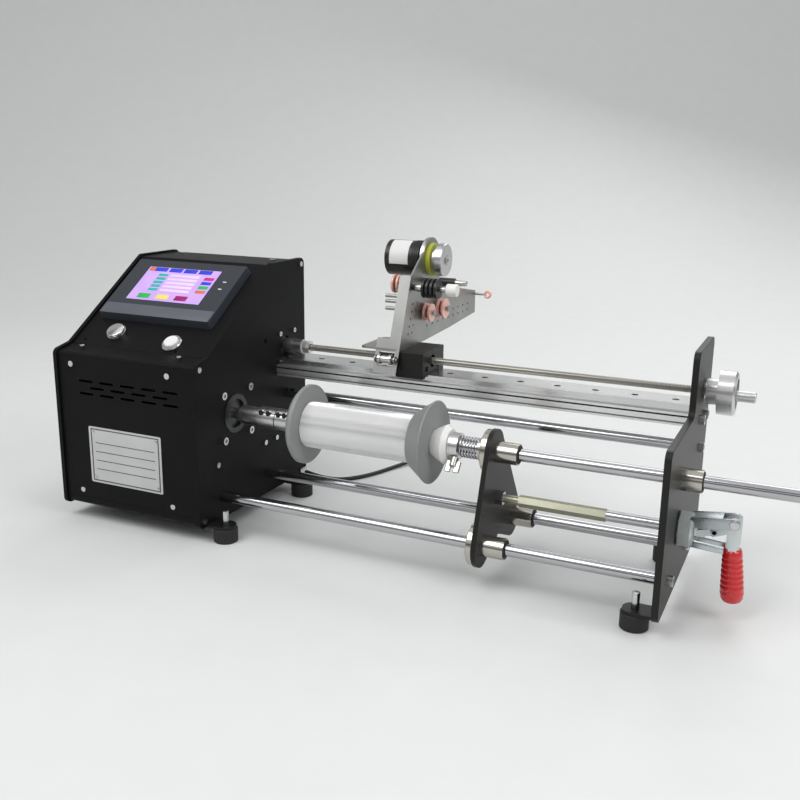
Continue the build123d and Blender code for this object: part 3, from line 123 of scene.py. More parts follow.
MENU_COLOURS = (
    ("menu_warm", (0.62, 0.17, 0.05)), ("menu_blue", (0.02, 0.05, 0.62)),
    ("menu_teal", (0.02, 0.42, 0.33)), ("menu_light", (0.78, 0.62, 0.92)),
    ("menu_rose", (0.55, 0.02, 0.16)), ("menu_green", (0.02, 0.42, 0.06)),
    ("menu_yellow", (0.80, 0.66, 0.12)), ("menu_wine", (0.33, 0.0, 0.12)),
)

CAD_FINISH = {
    "coat": ("left_side_plate", "right_side_plate", "front_cover", "console_panel",
             "rear_cover", "base_pan"),
    "plate": ("carriage_block", "tailstock_plate", "end_plate", "foot_brackets"),
    "chrome": ("cross_rods", "tail_shaft", "push_rod"),
    "mirror": ("panel_socket",),
    "steel": ("power_unit", "lead_screw", "tail_spring", "wing_screw"),
    "sheet": ("guide_bracket",),
    "rail": ("guide_rail",),
    "nickel": ("linear_bushings", "end_bearings"),
    "cast": ("toggle_base",),
    "zinc": ("toggle_links", "toggle_handle"),
    "alu": ("beam_extrusion",),
    "turned": ("spindle_shaft", "clamp_coupling", "screw_coupling", "tail_collar", "handwheel",
               "crank_knob", "measuring_wheel"),
    "flange": ("spool_flanges",),
    "screw": ("frame_screws", "button_ring", "entry_roller"),
    "white": ("tail_cone", "push_button"),
    "wound": ("spool_core",),
    "housing": ("touchscreen_housing",),
    "plastic": ("encoder_body", "tension_shaft", "knurled_knob", "cable_gland",
                "traverse_motor", "spindle_motor"),
    "rubber": ("rubber_feet", "power_plug"),
    "pink": ("guide_wheel_upper", "guide_wheel_rear", "guide_wheel_left", "eyelet"),
    "felt": ("felt_disc",),
    "red": ("red_grip",),
    "brass": ("hex_standoff",),
    "tag": ("nameplate",),
    "menu": ("touchscreen_glass",),
    "cord": ("power_cord", "cord_coil"),
}


def noise(nt, vector, scale, detail):
    """A noise texture node that reads a vector."""
    node = nt.nodes.new("ShaderNodeTexNoise")
    node.inputs["Scale"].default_value = scale
    node.inputs["Detail"].default_value = detail
    nt.links.new(vector, node.inputs["Vector"])
    return node


def finish(name, colour, rough, metal=0.0, grain=900.0, bump=0.05, mottle=0.12,
           stretch=(1, 1, 1), scratch=0.0, coat=0.0, sheen=0.0, shine=0.5):
    """A procedural finish: mottled colour, uneven gloss and a fine grain."""
    mat = bpy.data.materials.new(name)
    mat.use_nodes = True
    nt = mat.node_tree
    bsdf = nt.nodes["Principled BSDF"]
    bsdf.inputs["Metallic"].default_value = metal
    bsdf.inputs["Specular IOR Level"].default_value = shine
    if coat:
        bsdf.inputs["Coat Weight"].default_value = coat
        bsdf.inputs["Coat Roughness"].default_value = COAT_ROUGHNESS
    if sheen:
        bsdf.inputs["Sheen Weight"].default_value = sheen
    where = nt.nodes.new("ShaderNodeTexCoord")
    place = nt.nodes.new("ShaderNodeMapping")
    place.inputs["Scale"].default_value = stretch
    nt.links.new(where.outputs["Object"], place.inputs["Vector"])
    cloud = noise(nt, where.outputs["Object"], CLOUD_SCALE, CLOUD_DETAIL)
    ramp = nt.nodes.new("ShaderNodeValToRGB")
    dark, lit = ramp.color_ramp.elements
    dark.color = [c * (1 - mottle) for c in colour] + [1]
    dark.position = 0.3
    lit.color = [min(1, c * (1 + mottle)) for c in colour] + [1]
    lit.position = 0.7
    nt.links.new(cloud.outputs["Fac"], ramp.inputs["Fac"])
    nt.links.new(ramp.outputs["Color"], bsdf.inputs["Base Color"])
    fine = noise(nt, place.outputs["Vector"], grain, FINE_DETAIL)
    gloss = nt.nodes.new("ShaderNodeMapRange")
    gloss.inputs["To Min"].default_value = max(GLOSS_FLOOR, rough - GLOSS_SPREAD - scratch)
    gloss.inputs["To Max"].default_value = min(1.0, rough + GLOSS_SPREAD + scratch)
    nt.links.new(fine.outputs["Fac"], gloss.inputs["Value"])
    nt.links.new(gloss.outputs["Result"], bsdf.inputs["Roughness"])
    relief = nt.nodes.new("ShaderNodeBump")
    relief.inputs["Strength"].default_value = bump
    relief.inputs["Distance"].default_value = RELIEF_DEPTH
    nt.links.new(fine.outputs["Fac"], relief.inputs["Height"])
    nt.links.new(relief.outputs["Normal"], bsdf.inputs["Normal"])
    return mat


def screen_face():
    """The lit display's ground, a soft violet without words."""
    mat = bpy.data.materials.new("lit_menu")
    mat.use_nodes = True
    nt = mat.node_tree
    bsdf = nt.nodes["Principled BSDF"]
    bsdf.inputs["Roughness"].default_value = 0.12
    where = nt.nodes.new("ShaderNodeTexCoord")
    cloud = noise(nt, where.outputs["Object"], 30, 2)
    ramp = nt.nodes.new("ShaderNodeValToRGB")
    dark, lit = ramp.color_ramp.elements
    dark.color = (0.42, 0.26, 0.85, 1)
    lit.color = (0.66, 0.44, 0.93, 1)
    nt.links.new(cloud.outputs["Fac"], ramp.inputs["Fac"])
    nt.links.new(ramp.outputs["Color"], bsdf.inputs["Base Color"])
    nt.links.new(ramp.outputs["Color"], bsdf.inputs["Emission Color"])
    bsdf.inputs["Emission Strength"].default_value = 0.30
    return mat


def lamp_colour(name, colour):
    """A block of colour that glows a little, for the display's menu."""
    mat = finish(name, colour, 0.25, bump=0.01)
    bsdf = mat.node_tree.nodes["Principled BSDF"]
    bsdf.inputs["Emission Color"].default_value = (*colour, 1)
    bsdf.inputs["Emission Strength"].default_value = 0.15
    return mat


def make_finishes():
    """Fills M with every material, by its short key."""
    look = bpy.context.scene.winder_finishes
    rows = (
        ("coat", "black_powder_coat", tuple(look.black_coat), 0.46,
         dict(grain=2600, bump=0.30, shine=0.10)),
        ("plate", "black_anodised", (0.015, 0.0145, 0.0135), 0.42,
         dict(metal=0.1, grain=1800, bump=0.12, shine=0.24)),
        ("chrome", "ground_rod", (0.50, 0.50, 0.52), 0.11,
         dict(metal=1.0, grain=1400, bump=0.02, mottle=0.03, stretch=(0.15, 6, 6))),
        ("steel", "stainless", (0.50, 0.49, 0.46), 0.3,
         dict(metal=1.0, grain=700, bump=0.06, mottle=0.1, stretch=(1, 8, 1), scratch=0.04)),
        ("sheet", "brushed_sheet", (0.36, 0.36, 0.35), 0.40,
         dict(metal=1.0, grain=700, bump=0.08, mottle=0.1, stretch=(1, 8, 1), scratch=0.04)),
        ("rail", "rail_steel", (0.66, 0.66, 0.66), 0.24,
         dict(metal=1.0, grain=900, bump=0.04, mottle=0.06, stretch=(0.2, 5, 5), scratch=0.03)),
        ("cast", "clamp_body", (0.52, 0.55, 0.55), 0.38,
         dict(metal=0.6, grain=260, bump=0.06, mottle=0.10)),
        ("mirror", "bright_chrome", (0.86, 0.86, 0.87), 0.07,
         dict(metal=1.0, grain=900, bump=0.01, mottle=0.02)),
        ("thread", "screw_thread_steel", (0.33, 0.32, 0.29), 0.30,
         dict(metal=1.0, grain=900, bump=0.05, mottle=0.08, stretch=(1, 6, 6))),
        ("nickel", "nickel_plate", (0.52, 0.50, 0.45), 0.16,
         dict(metal=1.0, grain=900, bump=0.02, mottle=0.07)),
        ("zinc", "zinc_plate", (0.50, 0.54, 0.56), 0.3,
         dict(metal=1.0, grain=260, bump=0.05, mottle=0.16, stretch=(1, 1, 1), scratch=0.05)),
        ("neck", "handle_steel", (0.66, 0.70, 0.70), 0.36,
         dict(metal=0.7, grain=260, bump=0.05, mottle=0.08)),
        ("alu", "satin_aluminium", (0.84, 0.84, 0.84), 0.30,
         dict(metal=0.9, grain=1500, bump=0.05, mottle=0.05, stretch=(0.2, 5, 5))),
        ("turned", "turned_aluminium", (0.64, 0.64, 0.64), 0.27,
         dict(metal=1.0, grain=2400, bump=0.06, mottle=0.06, stretch=(8, 1, 1))),
        ("flange", "grey_flange", (0.27, 0.275, 0.275), 0.50,
         dict(metal=0.1, grain=1600, bump=0.08, mottle=0.05)),
        ("screw", "bright_screws", (0.62, 0.62, 0.63), 0.22,
         dict(metal=1.0, grain=900, bump=0.04, mottle=0.08)),
        ("white", "white_nylon", (0.84, 0.84, 0.82), 0.35,
         dict(grain=1500, bump=0.04, mottle=0.02)),
        ("housing", "grey_housing", (0.026, 0.031, 0.041), 0.42,
         dict(grain=2600, bump=0.15, mottle=0.06)),
        ("band", "housing_lower_band", (0.10, 0.108, 0.13), 0.45,
         dict(grain=2600, bump=0.15, mottle=0.05)),
        ("plastic", "black_plastic", (0.012, 0.012, 0.013), 0.35,
         dict(grain=1900, bump=0.08, mottle=0.1)),
        ("rubber", "black_rubber", (0.010, 0.010, 0.010), 0.62,
         dict(grain=1400, bump=0.2, mottle=0.15)),
        ("cord", "cord_sheath", (0.009, 0.009, 0.009), 0.45,
         dict(grain=2200, bump=0.12, mottle=0.15)),
        ("pink", "pink_ceramic", tuple(look.ceramic_pink), 0.28,
         dict(grain=1200, bump=0.03, mottle=0.07, coat=0.4)),
        ("felt", "felt", tuple(look.felt_green), 0.85,
         dict(grain=1800, bump=0.7, mottle=0.12, sheen=0.4)),
        ("red", "dipped_red", tuple(look.grip_red), 0.26,
         dict(grain=420, bump=0.05, mottle=0.06, coat=0.5)),
        ("brass", "hex_bar", (0.35, 0.345, 0.265), 0.30,
         dict(metal=0.8, grain=900, bump=0.06, mottle=0.1, stretch=(0.3, 4, 4))),
        ("label", "blank_label", (0.78, 0.78, 0.77), 0.5, dict(grain=2200, bump=0.05, mottle=0.03)),
        ("tag", "etched_nameplate", (0.62, 0.62, 0.62), 0.34,
         dict(metal=0.85, grain=1900, bump=0.08, mottle=0.06, stretch=(0.3, 3, 3))),
        ("tag_line", "etched_line", (0.10, 0.10, 0.10), 0.5,
         dict(metal=0.4, grain=1900, bump=0.05, mottle=0.1)),
        # painted shade: near-black for the beam's upper slot and the coupling's screw pockets
        ("dark", "painted_shade_gap", (0.012, 0.011, 0.011), 0.7, dict(grain=900, bump=0.1, mottle=0.2)),
        ("wound", "wound_thread", (0.80, 0.80, 0.80), 0.24,
         dict(metal=0.55, grain=2600, bump=0.1, mottle=0.04, stretch=(1, 0.3, 0.3))),
        # painted shade: a dark reddish brown for the inside of the guide wheels' grooves
        ("groove", "painted_groove_shade", (0.16, 0.06, 0.05), 0.5, dict(grain=900, bump=0.1, mottle=0.2)),
        ("shade", "slot_shade", (0.20, 0.20, 0.20), 0.5,
         dict(metal=0.6, grain=900, bump=0.05, mottle=0.1)),
    )
    for key, name, colour, rough, more in rows:
        M[key] = finish(name, colour, rough, **more)
    M["menu"] = screen_face()
    for name, colour in MENU_COLOURS:
        M[name] = lamp_colour(name, colour)


# ----------------------------------------------------------------- helpers
def nothing_selected():
    bpy.ops.object.select_all(action="DESELECT")


def apply_modifier(obj, name):
    bpy.context.view_layer.objects.active = obj
    bpy.ops.object.modifier_apply(modifier=name)


def settle(obj, name, mat, body, smooth=35):
    """Applies the object's place to its mesh, names it, paints it and lets it ride."""
    nothing_selected()
    obj.select_set(True)
    bpy.context.view_layer.objects.active = obj
    bpy.ops.object.transform_apply(location=True, rotation=True, scale=True)
    if smooth:
        bpy.ops.object.shade_smooth_by_angle(angle=math.radians(smooth))
    obj.name = name
    obj.data.name = name
    obj.data.materials.clear()
    obj.data.materials.append(M[mat])
    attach(obj, body)
    return obj


def soften(obj, width, segments=2):
    """Breaks the sharp edges; a width of 0 leaves them."""
    if width <= 0:
        return
    mod = obj.modifiers.new("edge", "BEVEL")
    mod.width = width
    mod.segments = segments
    mod.limit_method = "ANGLE"
    mod.angle_limit = math.radians(40)
    apply_modifier(obj, mod.name)


def rod(x, y, z, r, length, name, mat, body, sides=48, axis="X", bevel=0.0004):
    """A bar whose middle is at x, y, z, along an axis, with broken edges."""
    turn = {"X": (0, math.pi / 2, 0), "Y": (math.pi / 2, 0, 0), "Z": (0, 0, 0)}[axis]
    nothing_selected()
    bpy.ops.mesh.primitive_cylinder_add(
        vertices=sides, radius=r, depth=length, location=(x, y, z), rotation=turn)
    obj = bpy.context.object
    soften(obj, bevel)
    return settle(obj, name, mat, body)


def box(centre, size, name, mat, body):
    """A sharp upright block."""
    nothing_selected()
    bpy.ops.mesh.primitive_cube_add(size=1, location=centre)
    obj = bpy.context.object
    obj.scale = size
    return settle(obj, name, mat, body, 0)


def spun(points, axis, steps):
    """Spins a closed outline of points a whole turn round an axis through the origin."""
    nothing_selected()
    bpy.ops.mesh.primitive_circle_add(vertices=len(points), radius=0.01, location=(0, 0, 0))
    obj = bpy.context.object
    for vert, co in zip(obj.data.vertices, points):
        vert.co = co
    bpy.ops.object.mode_set(mode="EDIT")
    bpy.ops.mesh.select_all(action="SELECT")
    bpy.ops.mesh.spin(steps=steps, angle=2 * math.pi, center=(0, 0, 0), axis=axis, dupli=False)
    bpy.ops.mesh.select_all(action="SELECT")
    bpy.ops.mesh.remove_doubles(threshold=0.00001)
    bpy.ops.mesh.normals_make_consistent(inside=False)
    bpy.ops.object.mode_set(mode="OBJECT")
    return obj


def ring_turned(profile, name, mat, body, centre, sides=72):
    """Turns a closed profile of (x, r) pairs round the X axis through a centre."""
    obj = spun([(x, 0, r) for x, r in profile], (1, 0, 0), sides)
    obj.location = centre
    return settle(obj, name, mat, body)


def flat_ring(inner, outer, thick, *place):
    """A ring of square section; place is what ring_turned takes after its profile."""
    return ring_turned([(0, inner), (0, outer), (thick, outer), (thick, inner)], *place)


def flat_plate(outline, y, thick, name, mat, body):
    """A flat plate with an outline of (x, z) pairs whose middle is at y."""
    nothing_selected()
    bpy.ops.mesh.primitive_circle_add(vertices=len(outline), radius=0.01, fill_type="NGON")
    obj = bpy.context.object
    for vert, (x, z) in zip(obj.data.vertices, outline):
        vert.co = (x, y, z)
    wall = obj.modifiers.new("wall", "SOLIDIFY")
    wall.thickness = thick
    wall.offset = 0
    apply_modifier(obj, wall.name)
    soften(obj, 0.0003)
    return settle(obj, name, mat, body)


def slope_place(u, s, height):
    """A point on the console: u from the right plate, s up the slope, height off it."""
    return SLOPE_ORIGIN + Vector((u, 0, 0)) + SLOPE_UP * s + SLOPE_OUT * height


def slope_block(name, mat, u, s, w, h, height, thick):
    """A thin block lying on the console's slope."""
    nothing_selected()
    bpy.ops.mesh.primitive_cube_add(size=1)
    obj = bpy.context.object
    obj.scale = (w, h, thick)
    obj.rotation_euler = (SLOPE, 0, 0)
    obj.location = slope_place(u, s, height + thick / 2)
    bpy.ops.object.transform_apply(location=False, rotation=False, scale=True)
    soften(obj, 0.0003)
    return settle(obj, name, mat, "frame", 40)


def helix_piece(start, length, radius, wire, pitch, name, mat, body, per_turn, sides):
    """A wound wire along X as a mesh tube."""
    curve = bpy.data.curves.new(name, "CURVE")
    curve.dimensions = "3D"
    curve.bevel_depth = wire
    curve.bevel_resolution = max(0, sides // 4 - 1)
    curve.use_fill_caps = True
    spline = curve.splines.new("POLY")
    count = int(length / pitch * per_turn)
    spline.points.add(count)
    for i, point in enumerate(spline.points):
        a = 2 * math.pi * i / per_turn
        x = start[0] + length * i / count
        point.co = (x, start[1] + radius * math.cos(a), start[2] + radius * math.sin(a), 1)
    obj = bpy.data.objects.new(name, curve)
    bpy.context.scene.collection.objects.link(obj)
    nothing_selected()
    obj.select_set(True)
    bpy.context.view_layer.objects.active = obj
    bpy.ops.object.convert(target="MESH")
    return settle(bpy.context.object, name, mat, body, 60)


# --------------------------------------------------------------- operators
class WINDER_OT_stage(bpy.types.Operator):
    """Pale sweep, soft studio lights and the camera"""
    bl_idname = "winder.stage"
    bl_label = "Stage"

    VIEW_TURN = 24.80          # camera: degrees round, down and rolled
    VIEW_DOWN = 14.61
    VIEW_ROLL = 0.77
    WORLD_LEVELS = (           # brightness from straight down (0) to straight up (1)
        (0.10, 0.60), (0.16, 0.12), (0.26, 0.12), (0.36, 0.75), (0.50, 1.0), (0.62, 0.22),
        (0.76, 0.30), (0.84, 1.0),
    )
    LAMPS = (                  # name, place, aim, watts, width
        ("key_panel", (-0.7, -1.3, 1.9), (0.1, 0, 0.1), 22, 1.3),
        ("side_panel", (1.7, -0.4, 1.5), (0.1, 0, 0.1), 15, 1.2),
        ("back_panel", (0.2, 1.7, 1.6), (0.1, 0, 0.15), 16, 1.6),
    )

    def sweep(self):
        """A floor that bends up into a wall behind the part, square to the camera."""
        nothing_selected()
        bpy.ops.mesh.primitive_grid_add(x_subdivisions=2, y_subdivisions=90, size=1)
        floor = bpy.context.object
        floor.name = "studio_sweep"
        flat, bend, rise = 9.3, 1.6, 4.0
        width, front = 24, -8
        whole = flat + bend * math.pi / 2 + rise
        for vert in floor.data.vertices:
            along = (vert.co.y + 0.5) * whole
            turn = min(max((along - flat) / bend, 0), math.pi / 2)
            y = min(along, flat) + bend * math.sin(turn) + front
            z = bend * (1 - math.cos(turn)) + max(0, along - flat - bend * math.pi / 2)
            vert.co = (vert.co.x * width, y, z)
        floor.rotation_euler = (0, 0, math.radians(self.VIEW_TURN))
        bpy.ops.object.shade_smooth()
        mat = finish("pale_sweep", (0.735, 0.75, 0.74), 0.65, grain=40, bump=0.0, mottle=0.01)
        floor.data.materials.append(mat)

    def air(self):
        """A studio's walls and ceiling for the metal to mirror."""
        world = bpy.data.worlds.new("studio_air")
        world.use_nodes = True
        tree = world.node_tree
        where = tree.nodes.new("ShaderNodeTexCoord")
        split = tree.nodes.new("ShaderNodeSeparateXYZ")
        tree.links.new(where.outputs["Generated"], split.inputs["Vector"])
        ramp = tree.nodes.new("ShaderNodeValToRGB")
        low, high = ramp.color_ramp.elements
        low.color = (0.75, 0.75, 0.75, 1)
        low.position = 0.0
        high.color = (1.0, 1.0, 1.0, 1)
        high.position = 1.0
        for at, level in self.WORLD_LEVELS:
            step = ramp.color_ramp.elements.new(at)
            step.color = (level, level, level * 1.01, 1)
        tree.links.new(split.outputs["Z"], ramp.inputs["Fac"])
        tree.links.new(ramp.outputs["Color"], tree.nodes["Background"].inputs["Color"])
        tree.nodes["Background"].inputs["Strength"].default_value = 0.80
        bpy.context.scene.world = world

    def lamps(self):
        for name, place, target, power, size in self.LAMPS:
            nothing_selected()
            bpy.ops.object.light_add(type="AREA", location=place)
            lamp = bpy.context.object
            lamp.name = name
            lamp.data.energy = power
            lamp.data.size = size
            aim = Vector(target) - Vector(place)
            lamp.rotation_euler = aim.to_track_quat("-Z", "Y").to_euler()

    def camera(self):
        """The camera that the photograph was solved for."""
        data = bpy.data.cameras.new("photo_camera")
        data.sensor_width = 36
        data.lens = 42.96
        data.shift_x = 0.0031
        data.shift_y = 0.0003
        data.clip_end = 50
        camera = bpy.data.objects.new("photo_camera", data)
        bpy.context.scene.collection.objects.link(camera)
        turn = (Matrix.Rotation(math.radians(self.VIEW_TURN), 4, "Z")
                @ Matrix.Rotation(math.radians(90 - self.VIEW_DOWN), 4, "X")
                @ Matrix.Rotation(math.radians(self.VIEW_ROLL), 4, "Z"))
        camera.matrix_world = Matrix.Translation((X0 + 0.5829, Y0 - 0.8402, 0.4075)) @ turn
        bpy.context.scene.camera = camera

    def execute(self, context):
        self.sweep()
        self.air()
        self.lamps()
        self.camera()
        context.scene.view_settings.view_transform = "Standard"
        return {"FINISHED"}


class WINDER_OT_cords(bpy.types.Operator):
    """Mains cord: gland, put-away coil and the stretch on the floor"""
    bl_idname = "winder.cords"
    bl_label = "Mains cord"

    COIL_R = 0.028
    COIL_PITCH = 0.0056
    COIL_TURNS = 6.75
    PER_TURN = 14
    CORD_LENGTH = 1.53

    def execute(self, context):
        size = context.scene.winder_sizes
        gland = (X0 - 0.062, Y0 + 0.1475, 0.050)
        cx, cy = gland[0] - self.COIL_R, Y0 + 0.218
        low = 0.0025
        top = low + self.COIL_TURNS * self.COIL_PITCH
        points = [
            (gland[0], gland[1] + 0.015, gland[2]), (gland[0], Y0 + 0.180, gland[2]),
            (gland[0], Y0 + 0.200, 0.041),
        ]
        steps = int(self.COIL_TURNS * self.PER_TURN)
        # the curve passes inside its control points, so they stand off by this much
        reach = self.COIL_R * (1 / math.cos(math.pi / self.PER_TURN))
        for i in range(steps + 1):
            a = 2 * math.pi * i * self.COIL_TURNS / steps
            points.append((cx + reach * math.cos(a), cy + reach * math.sin(a),
                           top - (top - low) * i / steps))
        points += [
            (X0 - 0.042, Y0 + 0.190, low), (X0 + 0.026, Y0 + 0.164, low),
            (X0 + 0.058, Y0 + 0.196, low), (X0 + 0.0796, Y0 + 0.2626, low),
            (X0 + 0.108, Y0 + 0.318, 0.009),
        ]
        curve = bpy.data.curves.new("mains_cord", "CURVE")
        curve.dimensions = "3D"
        curve.bevel_depth = size.cord_diameter / 2
        curve.bevel_resolution = 3
        curve.resolution_u = 8
        curve.use_fill_caps = True
        spline = curve.splines.new("NURBS")
        spline.points.add(len(points) - 1)
        for point, co in zip(spline.points, points):
            point.co = (*co, 1)
        spline.order_u = 3
        spline.use_endpoint_u = True
        obj = bpy.data.objects.new("mains_cord", curve)
        context.scene.collection.objects.link(obj)
        curve.materials.append(M["cord"])
        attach(obj, "frame")
        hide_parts("power_cord", "cord_coil")
        return {"FINISHED"}


class WINDER_OT_cad_finishes(bpy.types.Operator):
    """Paints every CAD piece with its own finish"""
    bl_idname = "winder.cad_finishes"
    bl_label = "Finishes"

    def execute(self, context):
        for mat, names in CAD_FINISH.items():
            for name in names:
                obj = NODES[name]
                obj.data.materials.clear()
                obj.data.materials.append(M[mat])
                for face in obj.data.polygons:
                    face.material_index = 0
        return {"FINISHED"}


class WINDER_OT_console(bpy.types.Operator):
    """Touchscreen menu blocks, lower band, lamps and the blank nameplate's frame"""
    bl_idname = "winder.console"
    bl_label = "Console"

    TILE = 0.00035             # thickness of a menu block
    ROW = 0.0003               # thickness of a menu row's field
    TAG_X = X0 - 0.097         # middle of the nameplate
    TAG_Z = 0.080
    TAG_Y = Y0 - 0.0700        # its face

    def menu(self):
        """Plain blocks of colour laid out like a menu."""
        slope_block("menu_tab_warm", "menu_warm", -0.143, 0.1205, 0.0085, 0.0065,
                    GLASS_FACE, self.TILE)
        for i in range(4):
            slope_block("menu_tab_%d" % i, "menu_blue", -0.1305 + 0.0205 * i, 0.1205,
                        0.0175, 0.0065, GLASS_FACE, self.TILE)
        for i in range(5):
            s = 0.1115 - 0.0062 * i
            slope_block("menu_value_%d" % i, "menu_teal", -0.1225, s, 0.013, 0.0040,
                        GLASS_FACE, self.TILE)
            slope_block("menu_row_%d" % i, "menu_light", -0.0925, s, 0.040, 0.0040,
                        GLASS_FACE, self.ROW)
        for i, mat in enumerate(("menu_rose", "menu_blue", "menu_green", "menu_warm")):
            slope_block("menu_side_%d" % i, mat, -0.0585, 0.110 - 0.0072 * i, 0.0130, 0.0048,
                        GLASS_FACE, self.TILE)
        for i, mat in enumerate(("menu_green", "menu_yellow", "menu_wine")):
            slope_block("menu_key_%d" % i, mat, -0.128 + 0.0255 * i, 0.0755, 0.0165, 0.0075,
                        GLASS_FACE, self.TILE)
        slope_block("housing_band", "band", -0.0962, 0.0520, 0.1465, 0.0165, BEZEL_FACE, 0.0004)

    def socket(self):
        for name, r, low, high in (
            ("socket_collar", 0.0101, 0.0028, 0.0056),
            ("socket_dome", 0.0070, -0.0060, 0.0046),
        ):
            nothing_selected()
            bpy.ops.mesh.primitive_cylinder_add(vertices=64, radius=r, depth=high - low)
            obj = bpy.context.object
            obj.rotation_euler = (SLOPE, 0, 0)
            obj.location = slope_place(-0.132, 0.0196, (low + high) / 2)
            soften(obj, 0.0011, 3)
            settle(obj, name, "mirror", "frame", 40)

    def nameplate(self):
        """A frame and four ruled lines with nothing written, and a rivet at each corner."""
        x, z = self.TAG_X, self.TAG_Z
        for name, dx, dz, w, h in (
            ("tag_top", 0, 0.0293, 0.092, 0.0011), ("tag_bottom", 0, -0.0293, 0.092, 0.0011),
            ("tag_left", -0.0455, 0, 0.0011, 0.0577), ("tag_right", 0.0455, 0, 0.0011, 0.0577),
            ("tag_rule_1", 0, 0.014, 0.080, 0.0007), ("tag_rule_2", 0, 0.004, 0.080, 0.0007),
            ("tag_rule_3", 0, -0.006, 0.080, 0.0007), ("tag_rule_4", 0, -0.016, 0.080, 0.0007),
        ):
            box((x + dx, self.TAG_Y - 0.0001, z + dz), (w, 0.0004, h), name, "tag_line", "frame")
        for sx in (-0.0425, 0.0425):
            for sz in (-0.0262, 0.0262):
                rod(x + sx, self.TAG_Y - 0.0006, z + sz, 0.0016, 0.0014, "tag_rivet", "screw",
                    "frame", 20, "Y")

    def execute(self, context):
        self.menu()
        self.socket()
        for i, u in enumerate((-0.160, -0.0300)):
            rod(X0 + u, Y0 - 0.0555, 0.1973 + 0.0008, 0.0030, 0.0020, "lip_screw_%d" % i,
                "screw", "frame", 24, "Z", 0.0006)
        for i, u in enumerate((-0.160, -0.036)):
            rod(X0 + u, Y0 - 0.0694, 0.036, 0.0032, 0.0020, "cover_screw_%d" % i,
                "screw", "frame", 24, "Y", 0.0006)
        for i, s in enumerate((0.0956, 0.1074)):
            slope_block("status_lamp_%d" % i, "label", -0.036, s, 0.0045, 0.0016,
                        BEZEL_FACE, 0.0004)
        self.nameplate()
        return {"FINISHED"}


class WINDER_OT_windings(bpy.types.Operator):
    """Thread wound on the spool, lead screw thread and the tail spring"""
    bl_idname = "winder.windings"
    bl_label = "Windings and threads"

    def barrel(self, pitch):
        """The spool's core with turns of thread side by side."""
        x0, x1 = X0 + 0.0942, X0 + 0.2158
        inside, valley, crest = 0.0203, 0.02395, 0.02425
        profile = [(x1, inside), (x0, inside)]
        for i in range(int((x1 - x0) / pitch)):
            x = x0 + pitch * i
            profile += [(x, valley), (x + pitch * 0.5, crest)]
        profile.append((x1, valley))
        obj = ring_turned(profile, "wound_barrel", "wound", "spindle", (0, Y0, AXIS_Z), 96)
        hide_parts("spool_core")

    def lead_screw(self, pitch):
        x0, x1 = X0 + 0.014, X0 + 0.498
        core = rod((x0 + x1) / 2, SCREW_Y, SCREW_Z, 0.0034, x1 - x0,
                   "screw_core", "thread", "screw", 32)
        helix_piece((X0 + 0.036, SCREW_Y, SCREW_Z), 0.432, 0.00345, 0.00052, pitch,
                    "screw_thread", "thread", "screw", 18, 8)
        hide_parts("lead_screw")

    def tail_spring(self):
        spring = helix_piece((X0 + 0.2649, Y0, AXIS_Z), 0.0182, 0.0099, 0.0009, 0.00303,
                             "wound_spring", "chrome", "tailstock", 36, 12)
        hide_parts("tail_spring")

    def execute(self, context):
        size = context.scene.winder_sizes
        self.barrel(size.winding_pitch)
        self.lead_screw(size.screw_pitch)
        self.tail_spring()
        return {"FINISHED"}


